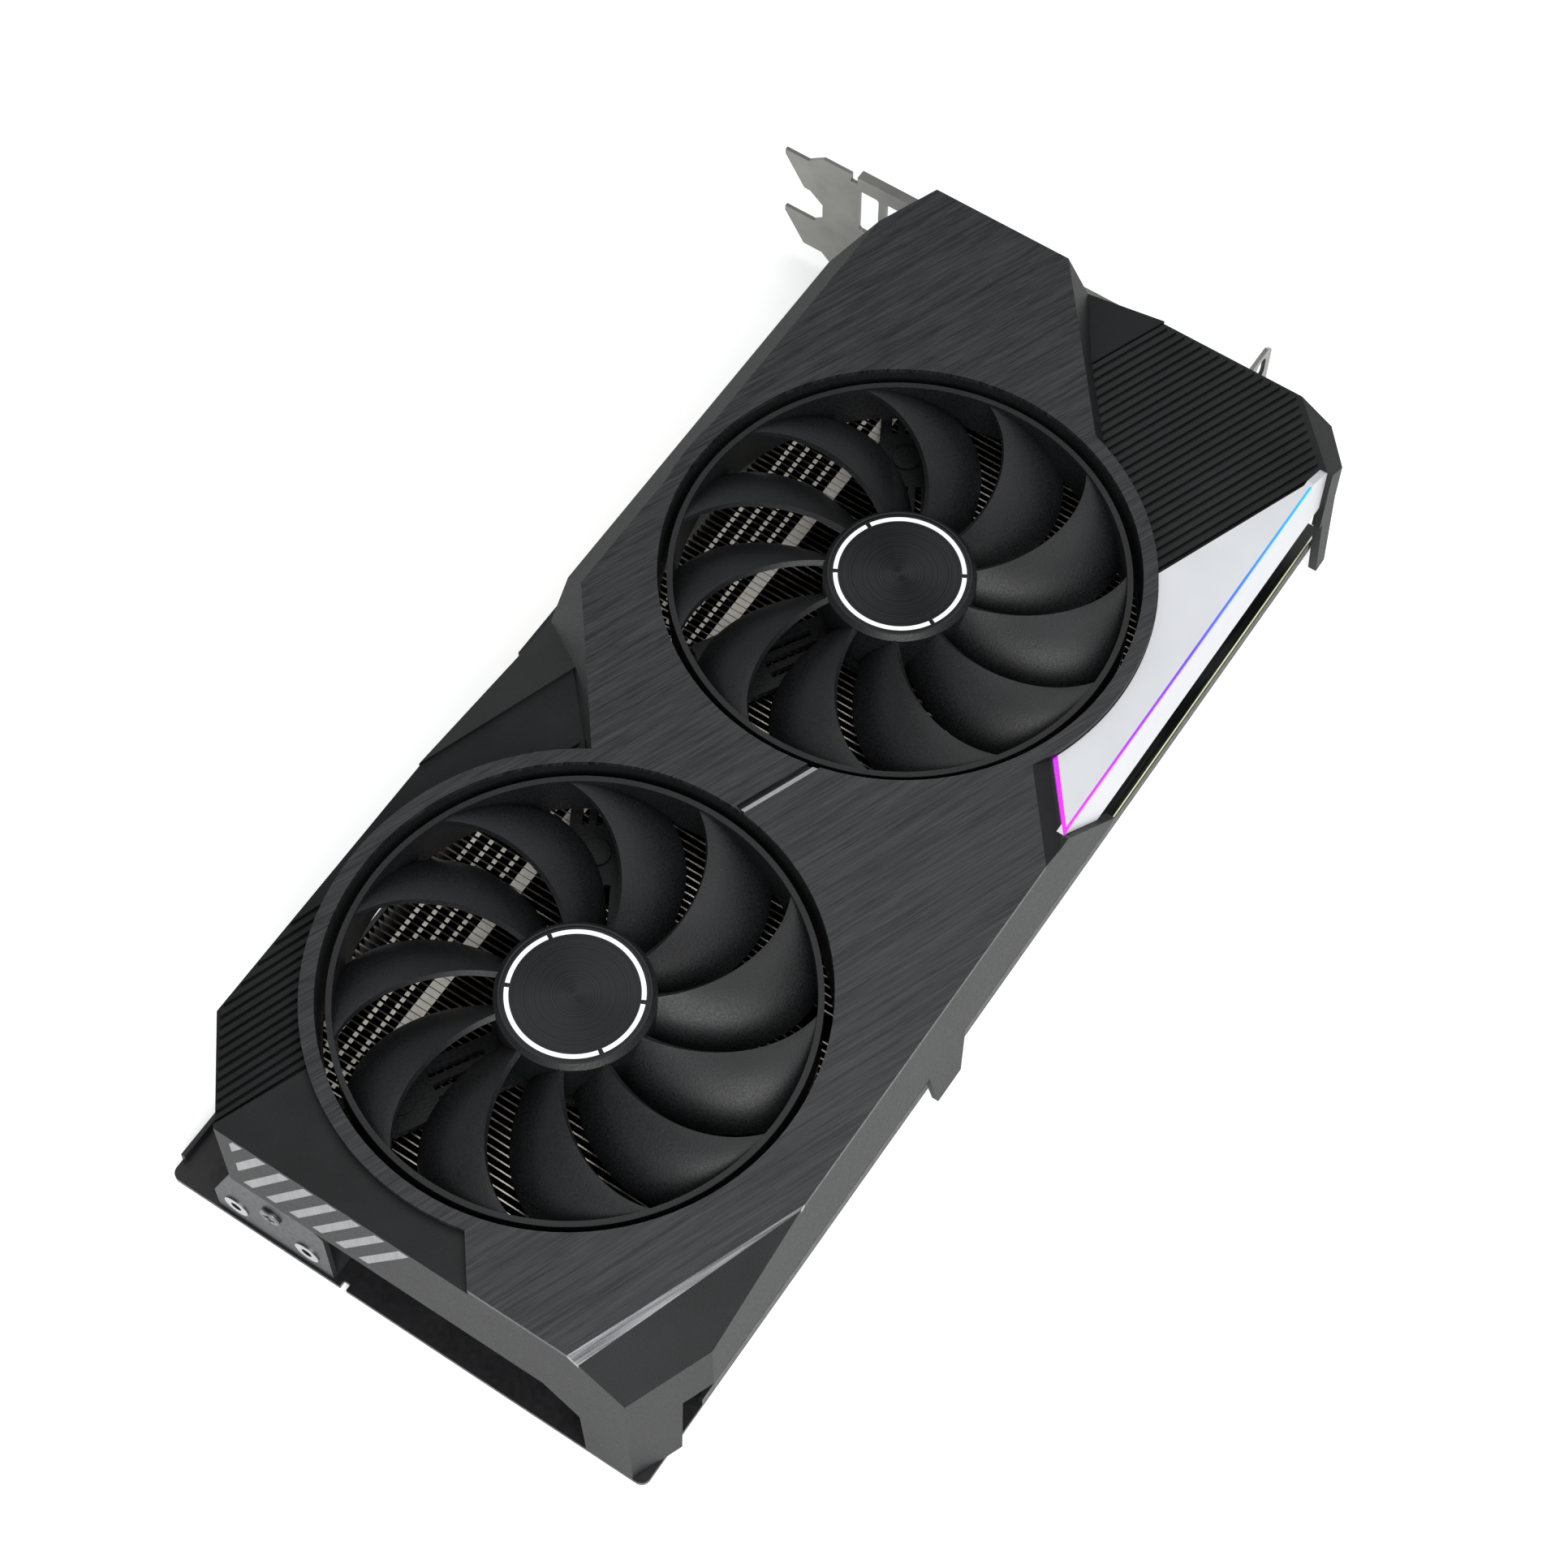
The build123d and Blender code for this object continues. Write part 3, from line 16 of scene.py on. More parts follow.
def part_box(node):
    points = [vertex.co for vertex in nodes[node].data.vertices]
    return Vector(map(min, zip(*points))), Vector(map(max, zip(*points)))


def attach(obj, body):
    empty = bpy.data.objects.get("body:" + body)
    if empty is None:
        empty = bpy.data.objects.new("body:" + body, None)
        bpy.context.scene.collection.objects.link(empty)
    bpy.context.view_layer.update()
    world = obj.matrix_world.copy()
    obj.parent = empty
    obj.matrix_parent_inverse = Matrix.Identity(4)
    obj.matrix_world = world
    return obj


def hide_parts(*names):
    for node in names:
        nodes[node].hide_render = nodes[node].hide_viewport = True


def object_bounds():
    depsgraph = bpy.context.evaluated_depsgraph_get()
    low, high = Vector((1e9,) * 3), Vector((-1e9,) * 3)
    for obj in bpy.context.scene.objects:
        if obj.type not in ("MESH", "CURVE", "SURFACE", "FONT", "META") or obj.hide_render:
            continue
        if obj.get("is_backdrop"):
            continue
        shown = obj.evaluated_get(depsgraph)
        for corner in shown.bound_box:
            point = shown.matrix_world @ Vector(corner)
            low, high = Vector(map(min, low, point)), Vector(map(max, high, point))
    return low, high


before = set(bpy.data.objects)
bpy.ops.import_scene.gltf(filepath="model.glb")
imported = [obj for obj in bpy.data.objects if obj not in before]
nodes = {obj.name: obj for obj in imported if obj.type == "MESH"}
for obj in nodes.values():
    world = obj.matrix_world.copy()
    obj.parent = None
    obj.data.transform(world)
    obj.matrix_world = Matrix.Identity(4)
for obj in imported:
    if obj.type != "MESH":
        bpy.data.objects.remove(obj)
cad_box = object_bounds()

# %% [markdown]
# Sizes are written in millimetres and turned to metres once. The fans' centres come from
# the hub labels' boxes, and the levels of the face, board and fins come from the nodes' boxes, so a
# change of the card's size carries through to every piece made here.

# %% Places on the card
MM = 0.001


def place(node, axis, end):
    """One face of a node's box: axis 0 to 2, end 0 for the low side and 1 for the high side."""
    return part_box(node)[end][axis]


fans = {}
for name in ("front", "rear"):
    low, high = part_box(f"{name}_hub_label")
    fans[name] = Vector(((low[0] + high[0]) / 2, (low[1] + high[1]) / 2, high[2]))
face_level = place("face_plate", 2, 1)
board_level = place("board", 2, 1)
diagonal = math.radians(-22)
levels = {"face": face_level, "board": board_level}
print("mm above the backplate's face:", {name: round(level / MM, 2) for name, level in levels.items()})

# %% [markdown]
# Colours are written as the hex codes that a paint program shows. Those are sRGB, and the
# renderer works in linear light, so one function turns a code into linear numbers. A second
# function adds a node, sets it up and links it, which keeps every material below short.

# %% Colour and node helpers
def linear(code, alpha=1.0):
    """Linear RGBA from an sRGB hex code such as "#2b2c2e"."""
    values = [int(code[i:i + 2], 16) / 255 for i in (1, 3, 5)]
    return tuple(v / 12.92 if v <= 0.04045 else ((v + 0.055) / 1.055) ** 2.4 for v in values) + (alpha,)


def add(tree, kind, inputs=None, **settings):
    """Adds a node. Settings go on the node; an input takes a value, or a socket to link."""
    node = tree.nodes.new(kind)
    for name, value in settings.items():
        setattr(node, name, value)
    for name, value in (inputs or {}).items():
        if isinstance(value, bpy.types.NodeSocket):
            tree.links.new(value, node.inputs[name])
        else:
            node.inputs[name].default_value = value
    return node


def new_finish(name, **values):
    """A material with one Principled shader; values are constants set on the shader's sockets."""
    material = bpy.data.materials.new(name)
    material.use_nodes = True
    tree = material.node_tree
    tree.nodes.clear()
    shader = add(tree, "ShaderNodeBsdfPrincipled", values)
    add(tree, "ShaderNodeOutputMaterial", {"Surface": shader.outputs["BSDF"]})
    return material, tree, shader


def noise_at(tree, feature, detail=3.0, stretch=(1, 1, 1), turn=0.0, roughness=0.5):
    """Noise whose features are this many millimetres across, stretched along turned axes."""
    where = add(tree, "ShaderNodeTexCoord").outputs["Object"]
    turned = add(tree, "ShaderNodeMapping", {
        "Vector": where,
        "Rotation": (0, 0, turn),
        "Scale": tuple(feature * MM * s for s in stretch),
    }, vector_type="TEXTURE")
    return add(tree, "ShaderNodeTexNoise", {
        "Vector": turned.outputs["Vector"], "Scale": 1.0, "Detail": detail, "Roughness": roughness,
    }).outputs["Fac"]


def spread(tree, value, low, high, start=0.3, end=0.7):
    """Turns a 0 to 1 value into a colour, or a number, between low and high."""
    if isinstance(low, str):
        ramp = add(tree, "ShaderNodeValToRGB", {"Fac": value})
        ramp.color_ramp.elements[0].position = start
        ramp.color_ramp.elements[1].position = end
        ramp.color_ramp.elements[0].color = linear(low)
        ramp.color_ramp.elements[1].color = linear(high)
        return ramp.outputs["Color"]
    return add(tree, "ShaderNodeMapRange", {
        "Value": value, "From Min": start, "From Max": end, "To Min": low, "To Max": high,
    }).outputs["Result"]


def relief(tree, shader, height, depth, strength=1.0):
    """Bump from a height value, this many millimetres deep."""
    bump = add(tree, "ShaderNodeBump", {"Height": height, "Distance": depth * MM, "Strength": strength})
    tree.links.new(bump.outputs["Normal"], shader.inputs["Normal"])


# %% [markdown]
# ## Finishes
# The shroud is ABS, injection moulded in a spark-eroded tool. The tool's fine pits print on
# the plastic, so it scatters light into a soft grey sheen with no sharp reflection. It could
# be one dark colour with high roughness; a little noise in colour and height keeps the
# grain's life. Real grain is about 0.1 mm, drawn here at 0.35 mm so that it shows.

# %% Moulded plastics
def moulded(name, low, high, rough, grain=0.35, depth=0.03, sheen=0.5):
    """Moulded plastic: two near colours, a roughness pair, grain size and depth in mm."""
    material, tree, shader = new_finish(name, IOR=1.53)
    shader.inputs["Specular IOR Level"].default_value = sheen
    cloud = noise_at(tree, 14.0, 2.0)
    fine = noise_at(tree, grain, 2.0)
    both = add(tree, "ShaderNodeMath", {0: cloud, 1: fine}, operation="ADD")
    half = add(tree, "ShaderNodeMath", {0: both.outputs[0], 1: 0.5}, operation="MULTIPLY")
    tree.links.new(spread(tree, half.outputs[0], low, high, 0.35, 0.65), shader.inputs["Base Color"])
    tree.links.new(spread(tree, fine, *rough), shader.inputs["Roughness"])
    relief(tree, shader, fine, depth)
    return material


shroud_abs = moulded("spark_eroded_abs", "#0e0f10", "#1a1b1c", (0.50, 0.62), depth=0.04, sheen=0.26)
fan_pbt = moulded("satin_pbt", "#090a0b", "#17181a", (0.42, 0.56), grain=0.45, depth=0.04, sheen=0.36)
socket_nylon = moulded("socket_nylon", "#101112", "#17181a", (0.42, 0.52), grain=0.6, depth=0.01)
chip_epoxy = moulded("chip_epoxy", "#191a1c", "#232427", (0.45, 0.6), grain=0.3, depth=0.01)
ceramic = moulded("chip_ceramic", "#3b2f28", "#4c3d33", (0.45, 0.55), grain=0.3, depth=0.005)
pad_silicone = moulded("thermal_pad_silicone", "#8b919b", "#9ba1aa", (0.8, 0.9), grain=1.2, depth=0.05)
print("moulded finishes:", len(bpy.data.materials))

# %% [markdown]
# The front plate is dark and brushed along the card's style diagonal. Brushing cuts long
# scratches, each a few hundredths of a millimetre wide and centimetres long. Noise squeezed
# across the brush and drawn out along it gives that: one fine layer for the scratches, and a
# coarse one for the bands that groups of scratches make. It drives colour, roughness and bump.

# %% Brushed plate and bright metals
def brushed(name, low, high, rough, metallic, turn, width=0.35, length=22.0, depth=0.02):
    """Brushed surface: scratches of a width and length in mm, turned about Z."""
    material, tree, shader = new_finish(name, Metallic=metallic)
    lines = (length / width, 1, length / width)
    fine = noise_at(tree, width, 2.0, lines, turn, 0.6)
    bands = noise_at(tree, width * 3.2, 3.0, lines, turn, 0.7)
    both = add(tree, "ShaderNodeMath", {0: fine, 1: bands}, operation="ADD")
    half = add(tree, "ShaderNodeMath", {0: both.outputs[0], 1: 0.5}, operation="MULTIPLY")
    tree.links.new(spread(tree, half.outputs[0], low, high, 0.36, 0.64), shader.inputs["Base Color"])
    tree.links.new(spread(tree, fine, *rough), shader.inputs["Roughness"])
    relief(tree, shader, half.outputs[0], depth)
    return material


plate_brushed = brushed(
    "brushed_dark_plate", "#121314", "#38393b", (0.34, 0.5), 0.35, diagonal, 0.25, 7.0, 0.018,
)
trim_silver = brushed(
    "satin_silver_foil", "#77797b", "#a2a4a6", (0.22, 0.34), 1.0, diagonal, 0.3, 16.0, 0.01,
)
stripe_grey = brushed("satin_grey_inlay", "#6f7173", "#8d8f91", (0.3, 0.42), 0.6, 0.0, 0.3, 8.0, 0.01)


def plain_metal(name, low, high, rough, feature=6.0, metallic=1.0, depth=0.004):
    """Bare or plated metal with faint patches from handling and plating."""
    material, tree, shader = new_finish(name, Metallic=metallic)
    cloud = noise_at(tree, feature, 4.0)
    tree.links.new(spread(tree, cloud, low, high), shader.inputs["Base Color"])
    tree.links.new(spread(tree, cloud, *rough), shader.inputs["Roughness"])
    relief(tree, shader, noise_at(tree, 0.5, 2.0), depth)
    return material


bracket_nickel = plain_metal("nickel_plated_steel", "#7f7f7c", "#93938f", (0.36, 0.46), 9.0)
copper_bare = plain_metal("bare_copper", "#b87350", "#d08a62", (0.22, 0.36), 5.0)
brass_turned = plain_metal("turned_brass", "#b89a5c", "#cdb072", (0.22, 0.34), 2.0)
steel_ground = plain_metal("ground_steel", "#9a9b9d", "#b4b5b7", (0.18, 0.3), 2.0)
gold_flash = plain_metal("gold_flash", "#c9a44c", "#dcbc66", (0.2, 0.3), 3.0)
can_aluminium = plain_metal("capacitor_can", "#8f9193", "#a9abad", (0.28, 0.4), 3.0)
silicon_die = plain_metal("polished_silicon", "#4d5058", "#5c606a", (0.06, 0.12), 4.0)
screw_zinc = plain_metal("black_zinc", "#1d1d1f", "#2c2c2e", (0.3, 0.45), 1.5, 0.8)
sintered = plain_metal("sintered_ferrite", "#2c2c2e", "#3a3a3c", (0.45, 0.6), 1.0, 0.5)
screw_grey = plain_metal("satin_steel_screw", "#6c6c6c", "#828282", (0.3, 0.42), 2.0)
# Near-white fin tab colour with little metal: a painted highlight where light falls on the tabs.
tab_painted_highlight = plain_metal("fin_tab_edge", "#efeade", "#fbf7ee", (0.3, 0.45), 1.2, 0.2)
solder_tin = plain_metal("tinned_cap", "#b9bbbd", "#d2d4d6", (0.24, 0.36), 0.8)
print("metals made")

# %% [markdown]
# Light hardly reaches between the fins, so only their cut top edges shine. The fin colour is painted by
# height:
# painted shade on the sheet below, and a painted highlight along the top edge in the last half
# millimetre.

# %% Fin sheet
def fin_sheet(top):
    """Aluminium sheet with painted shade on its flanks and a painted highlight on its top edge."""
    material, tree, shader = new_finish("fin_sheet", Metallic=1.0)
    height = add(tree, "ShaderNodeSeparateXYZ", {
        "Vector": add(tree, "ShaderNodeTexCoord").outputs["Object"],
    }).outputs["Z"]
    # Height mask: 0 on the flanks, which get painted shade; 1 in the top half millimetre, which gets a
    # painted highlight.
    edge = add(tree, "ShaderNodeMapRange", {
        "Value": height, "From Min": top - 0.6 * MM, "From Max": top - 0.1 * MM,
    }).outputs["Result"]
    patches = noise_at(tree, 3.0, 3.0)
    # The dark flank colour is painted shade; the pale top-edge colour is a painted highlight.
    fin_painted_shade = spread(tree, patches, "#191817", "#252321")
    fin_painted_highlight = spread(tree, patches, "#b9b4a8", "#e2ddd0")
    mixed = add(tree, "ShaderNodeMix", {0: edge}, data_type="RGBA")
    tree.links.new(fin_painted_shade, mixed.inputs[6])
    tree.links.new(fin_painted_highlight, mixed.inputs[7])
    tree.links.new(mixed.outputs[2], shader.inputs["Base Color"])
    tree.links.new(spread(tree, patches, 0.3, 0.42), shader.inputs["Roughness"])
    relief(tree, shader, noise_at(tree, 0.5, 2.0), 0.004)
    return material


fin_aluminium = fin_sheet(place("front_fins", 2, 1))

# %% [markdown]
# The backplate is steel with a black powder coat, which dries with a slight orange peel. The
# board is glass-epoxy laminate under black solder mask: a thin gloss varnish whose tint shows
# where copper runs beneath it.

# %% Coats and laminates
def coated(name, low, high, rough, peel=1.4, depth=0.02, coat=0.0):
    """Paint or varnish over metal: orange peel of a size in mm, with an optional clear coat."""
    material, tree, shader = new_finish(name, IOR=1.5)
    shader.inputs["Coat Weight"].default_value = coat
    cloud = noise_at(tree, 10.0, 3.0)
    skin = noise_at(tree, peel, 2.0)
    tree.links.new(spread(tree, cloud, low, high), shader.inputs["Base Color"])
    tree.links.new(spread(tree, skin, *rough), shader.inputs["Roughness"])
    relief(tree, shader, skin, depth)
    return material


backplate_coat = coated("black_powder_coat", "#141416", "#1c1c1e", (0.38, 0.5))
brace_coat = coated("grey_black_coat", "#242628", "#2f3133", (0.42, 0.52))
solder_mask = coated("black_solder_mask", "#0e100f", "#171a18", (0.24, 0.34), 0.8, 0.01, 0.3)


def laminate():
    """Board with copper runs just visible under the mask, and the pale glass cloth on its sawn edges."""
    material, tree, shader = new_finish("board_laminate", IOR=1.5)
    patches = noise_at(tree, 9.0, 0.0, (1, 1, 1), 0.0)
    runs = noise_at(tree, 0.8, 1.0, (30, 1, 1), 0.0)
    seen = add(tree, "ShaderNodeMath", {0: runs, 1: patches}, operation="MULTIPLY")
    mask = spread(tree, seen.outputs[0], "#0d0f0e", "#1e2421", 0.2, 0.4)
    normal = add(tree, "ShaderNodeNewGeometry").outputs["Normal"]
    facing = add(tree, "ShaderNodeSeparateXYZ", {"Vector": normal})
    upright = add(tree, "ShaderNodeMath", {0: facing.outputs["Z"]}, operation="ABSOLUTE")
    sawn = add(tree, "ShaderNodeMath", {0: upright.outputs[0], 1: 0.5}, operation="LESS_THAN")
    mixed = add(tree, "ShaderNodeMix", {0: sawn.outputs[0]}, data_type="RGBA")
    tree.links.new(mask, mixed.inputs[6])
    tree.links.new(spread(tree, runs, "#c9cf94", "#e2e6b4"), mixed.inputs[7])
    tree.links.new(mixed.outputs[2], shader.inputs["Base Color"])
    tree.links.new(spread(tree, runs, 0.24, 0.36), shader.inputs["Roughness"])
    relief(tree, shader, runs, 0.02)
    return material


board_mask = laminate()


# %% [markdown]
# The fan labels are dark film on a turned disc: fine circular grooves make the light gather
# in two opposite fans of sheen, as on a record. Rings of noise round each centre give the
# grooves. A label spins with its rotor, and its pattern reads its own place, so it stays put.

# %% Spun labels
def spun_label(name, centre):
    """Film with circular grooves round a centre on the card."""
    material, tree, shader = new_finish(f"spun_film_{name}", IOR=1.5, Metallic=0.6)
    where = add(tree, "ShaderNodeTexCoord").outputs["Object"]
    local = add(tree, "ShaderNodeVectorMath", {0: where, 1: centre}, operation="SUBTRACT")
    flat = add(tree, "ShaderNodeVectorMath", {0: local.outputs[0], 1: (1, 1, 0)}, operation="MULTIPLY")
    radius = add(tree, "ShaderNodeVectorMath", {0: flat.outputs[0]}, operation="LENGTH").outputs["Value"]
    groove = add(tree, "ShaderNodeTexNoise", {
        "W": radius, "Scale": 1 / (0.3 * MM), "Detail": 2.0,
    }, noise_dimensions="1D").outputs["Fac"]
    tree.links.new(spread(tree, groove, "#131416", "#222326"), shader.inputs["Base Color"])
    tree.links.new(spread(tree, groove, 0.26, 0.38), shader.inputs["Roughness"])
    tangent = add(tree, "ShaderNodeTangent", direction_type="RADIAL", axis="Z")
    tree.links.new(tangent.outputs["Tangent"], shader.inputs["Tangent"])
    shader.inputs["Anisotropic"].default_value = 0.7
    relief(tree, shader, groove, 0.01)
    return material


def printed_white():
    """White ink: bright, nearly flat, slightly uneven in gloss."""
    material, tree, shader = new_finish("white_ink", IOR=1.5)
    cloud = noise_at(tree, 2.0, 2.0)
    tree.links.new(spread(tree, cloud, "#e9eaec", "#f6f7f8"), shader.inputs["Base Color"])
    tree.links.new(spread(tree, cloud, 0.35, 0.5), shader.inputs["Roughness"])
    return material


white_ink = printed_white()
labels = {name: spun_label(name, centre) for name, centre in fans.items()}
print("labels at", [tuple(round(v / MM, 1) for v in c) for c in fans.values()])

# %% [markdown]
# The slanted panel beside the front fan is milky acrylic over a strip of lamps. It reads as
# plain white, with a thin line along its edge that runs from magenta at the tail, through
# violet, to blue. The panel scatters, so it is rough white plastic with a soft glow of its
# own; the line is a clear light guide that shines, coloured along the card's length.

# %% Lit plastics
panel_low = place("light_guide", 0, 0)
panel_high = place("light_guide", 0, 1)


def milky():
    """Opal acrylic: white, rough, faintly glowing from the lamps behind it."""
    material, tree, shader = new_finish("opal_acrylic", IOR=1.49)
    cloud = noise_at(tree, 20.0, 2.0)
    tree.links.new(spread(tree, cloud, "#bcbec1", "#c6c8cb"), shader.inputs["Base Color"])
    tree.links.new(spread(tree, cloud, 0.3, 0.42), shader.inputs["Roughness"])
    shader.inputs["Subsurface Weight"].default_value = 0.15
    shader.inputs["Subsurface Radius"].default_value = (0.002, 0.002, 0.002)
    shader.inputs["Emission Color"].default_value = linear("#f4f6ff")
    shader.inputs["Emission Strength"].default_value = 0.06
    return material


def glowing():
    """Light guide: colour runs along X from blue at the bracket end to magenta at the tail end."""
    material, tree, shader = new_finish("lit_light_guide", IOR=1.49, Roughness=0.2)
    where = add(tree, "ShaderNodeTexCoord").outputs["Object"]
    along_x = add(tree, "ShaderNodeSeparateXYZ", {"Vector": where}).outputs["X"]
    share = add(tree, "ShaderNodeMapRange", {
        "Value": along_x, "From Min": panel_low, "From Max": panel_high,
    }).outputs["Result"]
    ramp = add(tree, "ShaderNodeValToRGB", {"Fac": share})
    stops = ramp.color_ramp.elements
    stops[0].color = linear("#1e9be0")
    stops[1].color = linear("#c000c8")
    for position, code in ((0.3, "#2f62dc"), (0.5, "#5232cf"), (0.72, "#8a12c8")):
        stops.new(position).color = linear(code)
    tree.links.new(ramp.outputs["Color"], shader.inputs["Base Color"])
    tree.links.new(ramp.outputs["Color"], shader.inputs["Emission Color"])
    shader.inputs["Emission Strength"].default_value = 0.7
    return material


opal = milky()
guide_light = glowing()

# %% Finishes on the frame's own nodes
node_finishes = {
    shroud_abs: ["shroud"],
    plate_brushed: ["face_plate"],
    opal: ["light_panel"],
    guide_light: ["light_guide"],
    trim_silver: ["silver_strip", "centre_trim"],
    stripe_grey: ["tail_stripes"],
    fan_pbt: ["front_rotor", "rear_rotor", "front_fan_frame", "rear_fan_frame"],
    labels["front"]: ["front_hub_label"],
    labels["rear"]: ["rear_hub_label"],
    steel_ground: ["front_fan_shaft", "rear_fan_shaft", "threaded_inserts"],
    sintered: ["front_magnet_ring", "rear_magnet_ring", "front_stator", "rear_stator"],
    copper_bare: ["front_motor_coils", "rear_motor_coils", "heat_pipes", "cold_plate"],
    brass_turned: ["front_fan_bearings", "rear_fan_bearings"],
    screw_zinc: ["fan_screws", "backplate_screws", "brace_screw", "spring_screws", "bracket_screws"],
    fin_aluminium: ["front_fins", "rear_fins", "spreader_plate"],
    board_mask: ["board"],
    solder_mask: ["gpu_package"],
    silicon_die: ["gpu_die"],
    chip_epoxy: ["memory_chips", "power_stages", "chokes"],
    can_aluminium: ["capacitors"],
    pad_silicone: ["memory_pads"],
    gold_flash: ["edge_contacts", "power_pins"],
    socket_nylon: ["power_socket", "fan_headers", "socket_tongues"],
    bracket_nickel: ["io_bracket", "display_sockets"],
    backplate_coat: ["backplate", "cross_bracket"],
    brace_coat: ["tail_brace"],
}
for material, names in node_finishes.items():
    for name in names:
        slots = nodes[name].data.materials
        slots.clear()
        slots.append(material)
covered = {name for names in node_finishes.values() for name in names}
print("finished nodes:", len(covered), "left over:", sorted(set(nodes) - covered))

# %% [markdown]
# ## Small parts that repeat
# Fingers, fin tabs, screws and board parts repeat by the dozen. Each one is modelled once,
# then a Geometry Nodes tree copies it: one tree for rows, one for rings and one for a list of
# spots. A tree ends by turning its copies into real mesh with one material. The result is
# kept as a plain mesh, and the tree's carrier goes, so every piece stands at the origin.

# %% Trees that copy one piece
def new_tree(name, inputs):
    """An empty geometry tree with named inputs; returns it and the inputs' sockets."""
    tree = bpy.data.node_groups.new(name, "GeometryNodeTree")
    tree.interface.new_socket("Geometry", in_out="OUTPUT", socket_type="NodeSocketGeometry")
    for title, kind in inputs:
        tree.interface.new_socket(title, in_out="INPUT", socket_type=f"NodeSocket{kind}")
    return tree, add(tree, "NodeGroupInput").outputs


def end_tree(tree, copies, finish):
    """Real mesh, one material, and out."""
    real = add(tree, "GeometryNodeRealizeInstances", {"Geometry": copies})
    done = add(tree, "GeometryNodeSetMaterial", {
        "Geometry": real.outputs["Geometry"], "Material": finish,
    })
    add(tree, "NodeGroupOutput", {"Geometry": done.outputs["Geometry"]})


def rows_tree():
    """Rows of one piece: a count and a step along the row, and the same from row to row."""
    tree, given = new_tree("rows_of_a_piece", [
        ("Piece", "Object"), ("Finish", "Material"), ("Start", "Vector"), ("Count", "Int"),
        ("Step", "Vector"), ("Rows", "Int"), ("Row Step", "Vector"),
    ])
    piece = add(tree, "GeometryNodeObjectInfo", {"Object": given["Piece"]}).outputs["Geometry"]
    line = add(tree, "GeometryNodeMeshLine", {
        "Count": given["Count"], "Start Location": given["Start"], "Offset": given["Step"],
    })
    row = add(tree, "GeometryNodeInstanceOnPoints", {"Points": line.outputs["Mesh"], "Instance": piece})
    lines = add(tree, "GeometryNodeMeshLine", {"Count": given["Rows"], "Offset": given["Row Step"]})
    rows = add(tree, "GeometryNodeInstanceOnPoints", {
        "Points": lines.outputs["Mesh"], "Instance": row.outputs["Instances"],
    })
    end_tree(tree, rows.outputs["Instances"], given["Finish"])
    return tree


def ring_tree():
    """Copies of one piece turned about a centre, a first angle and then a step each."""
    tree, given = new_tree("ring_of_a_piece", [
        ("Piece", "Object"), ("Finish", "Material"), ("Centre", "Vector"), ("Count", "Int"),
        ("First Angle", "Float"), ("Angle Step", "Float"),
    ])
    piece = add(tree, "GeometryNodeObjectInfo", {"Object": given["Piece"]}).outputs["Geometry"]
    spots = add(tree, "GeometryNodeMeshLine", {
        "Count": given["Count"], "Start Location": given["Centre"], "Offset": (0, 0, 0),
    })
    index = add(tree, "GeometryNodeInputIndex").outputs["Index"]
    angle = add(tree, "ShaderNodeMath", {
        0: index, 1: given["Angle Step"], 2: given["First Angle"],
    }, operation="MULTIPLY_ADD")
    euler = add(tree, "ShaderNodeCombineXYZ", {"Z": angle.outputs[0]})
    turn = add(tree, "FunctionNodeEulerToRotation", {"Euler": euler.outputs["Vector"]})
    ring = add(tree, "GeometryNodeInstanceOnPoints", {
        "Points": spots.outputs["Mesh"], "Instance": piece, "Rotation": turn.outputs["Rotation"],
    })
    end_tree(tree, ring.outputs["Instances"], given["Finish"])
    return tree


def spots_tree():
    """One copy on each vertex of the carrier's mesh, all turned the same way."""
    tree, given = new_tree("piece_on_spots", [
        ("Spots", "Geometry"), ("Piece", "Object"), ("Finish", "Material"), ("Turn", "Vector"),
    ])
    piece = add(tree, "GeometryNodeObjectInfo", {"Object": given["Piece"]}).outputs["Geometry"]
    turn = add(tree, "FunctionNodeEulerToRotation", {"Euler": given["Turn"]})
    copies = add(tree, "GeometryNodeInstanceOnPoints", {
        "Points": given["Spots"], "Instance": piece, "Rotation": turn.outputs["Rotation"],
    })
    end_tree(tree, copies.outputs["Instances"], given["Finish"])
    return tree


rows, ring, spots = rows_tree(), ring_tree(), spots_tree()
print("trees:", [tree.name for tree in (rows, ring, spots)])

# %% Making a piece and keeping it
made = {}


def keep(name, tree, body, source_mesh, finish, at=(), **values):
    """Runs a tree once on a source mesh and keeps the result as a plain mesh on a body."""
    source = bpy.data.objects.new(f"{name}_source", source_mesh)
    carrier_mesh = bpy.data.meshes.new(f"{name}_spots")
    carrier_mesh.from_pydata([tuple(spot) for spot in at], [], [])
    carrier = bpy.data.objects.new(f"{name}_carrier", carrier_mesh)
    bpy.context.scene.collection.objects.link(carrier)
    modifier = carrier.modifiers.new("copy", "NODES")
    modifier.node_group = tree
    values.update({"Piece": source, "Finish": finish})
    for item in tree.interface.items_tree:
        if item.in_out == "INPUT" and item.name.replace(" ", "_") in values:
            modifier[item.identifier] = values[item.name.replace(" ", "_")]
    seen = carrier.evaluated_get(bpy.context.evaluated_depsgraph_get())
    plain = bpy.data.meshes.new_from_object(seen)
    plain.name = name
    bpy.data.objects.remove(carrier)
    bpy.data.objects.remove(source)
    piece = bpy.data.objects.new(name, plain)
    bpy.context.scene.collection.objects.link(piece)
    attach(piece, body)
    made[name] = len(plain.polygons)
    return piece


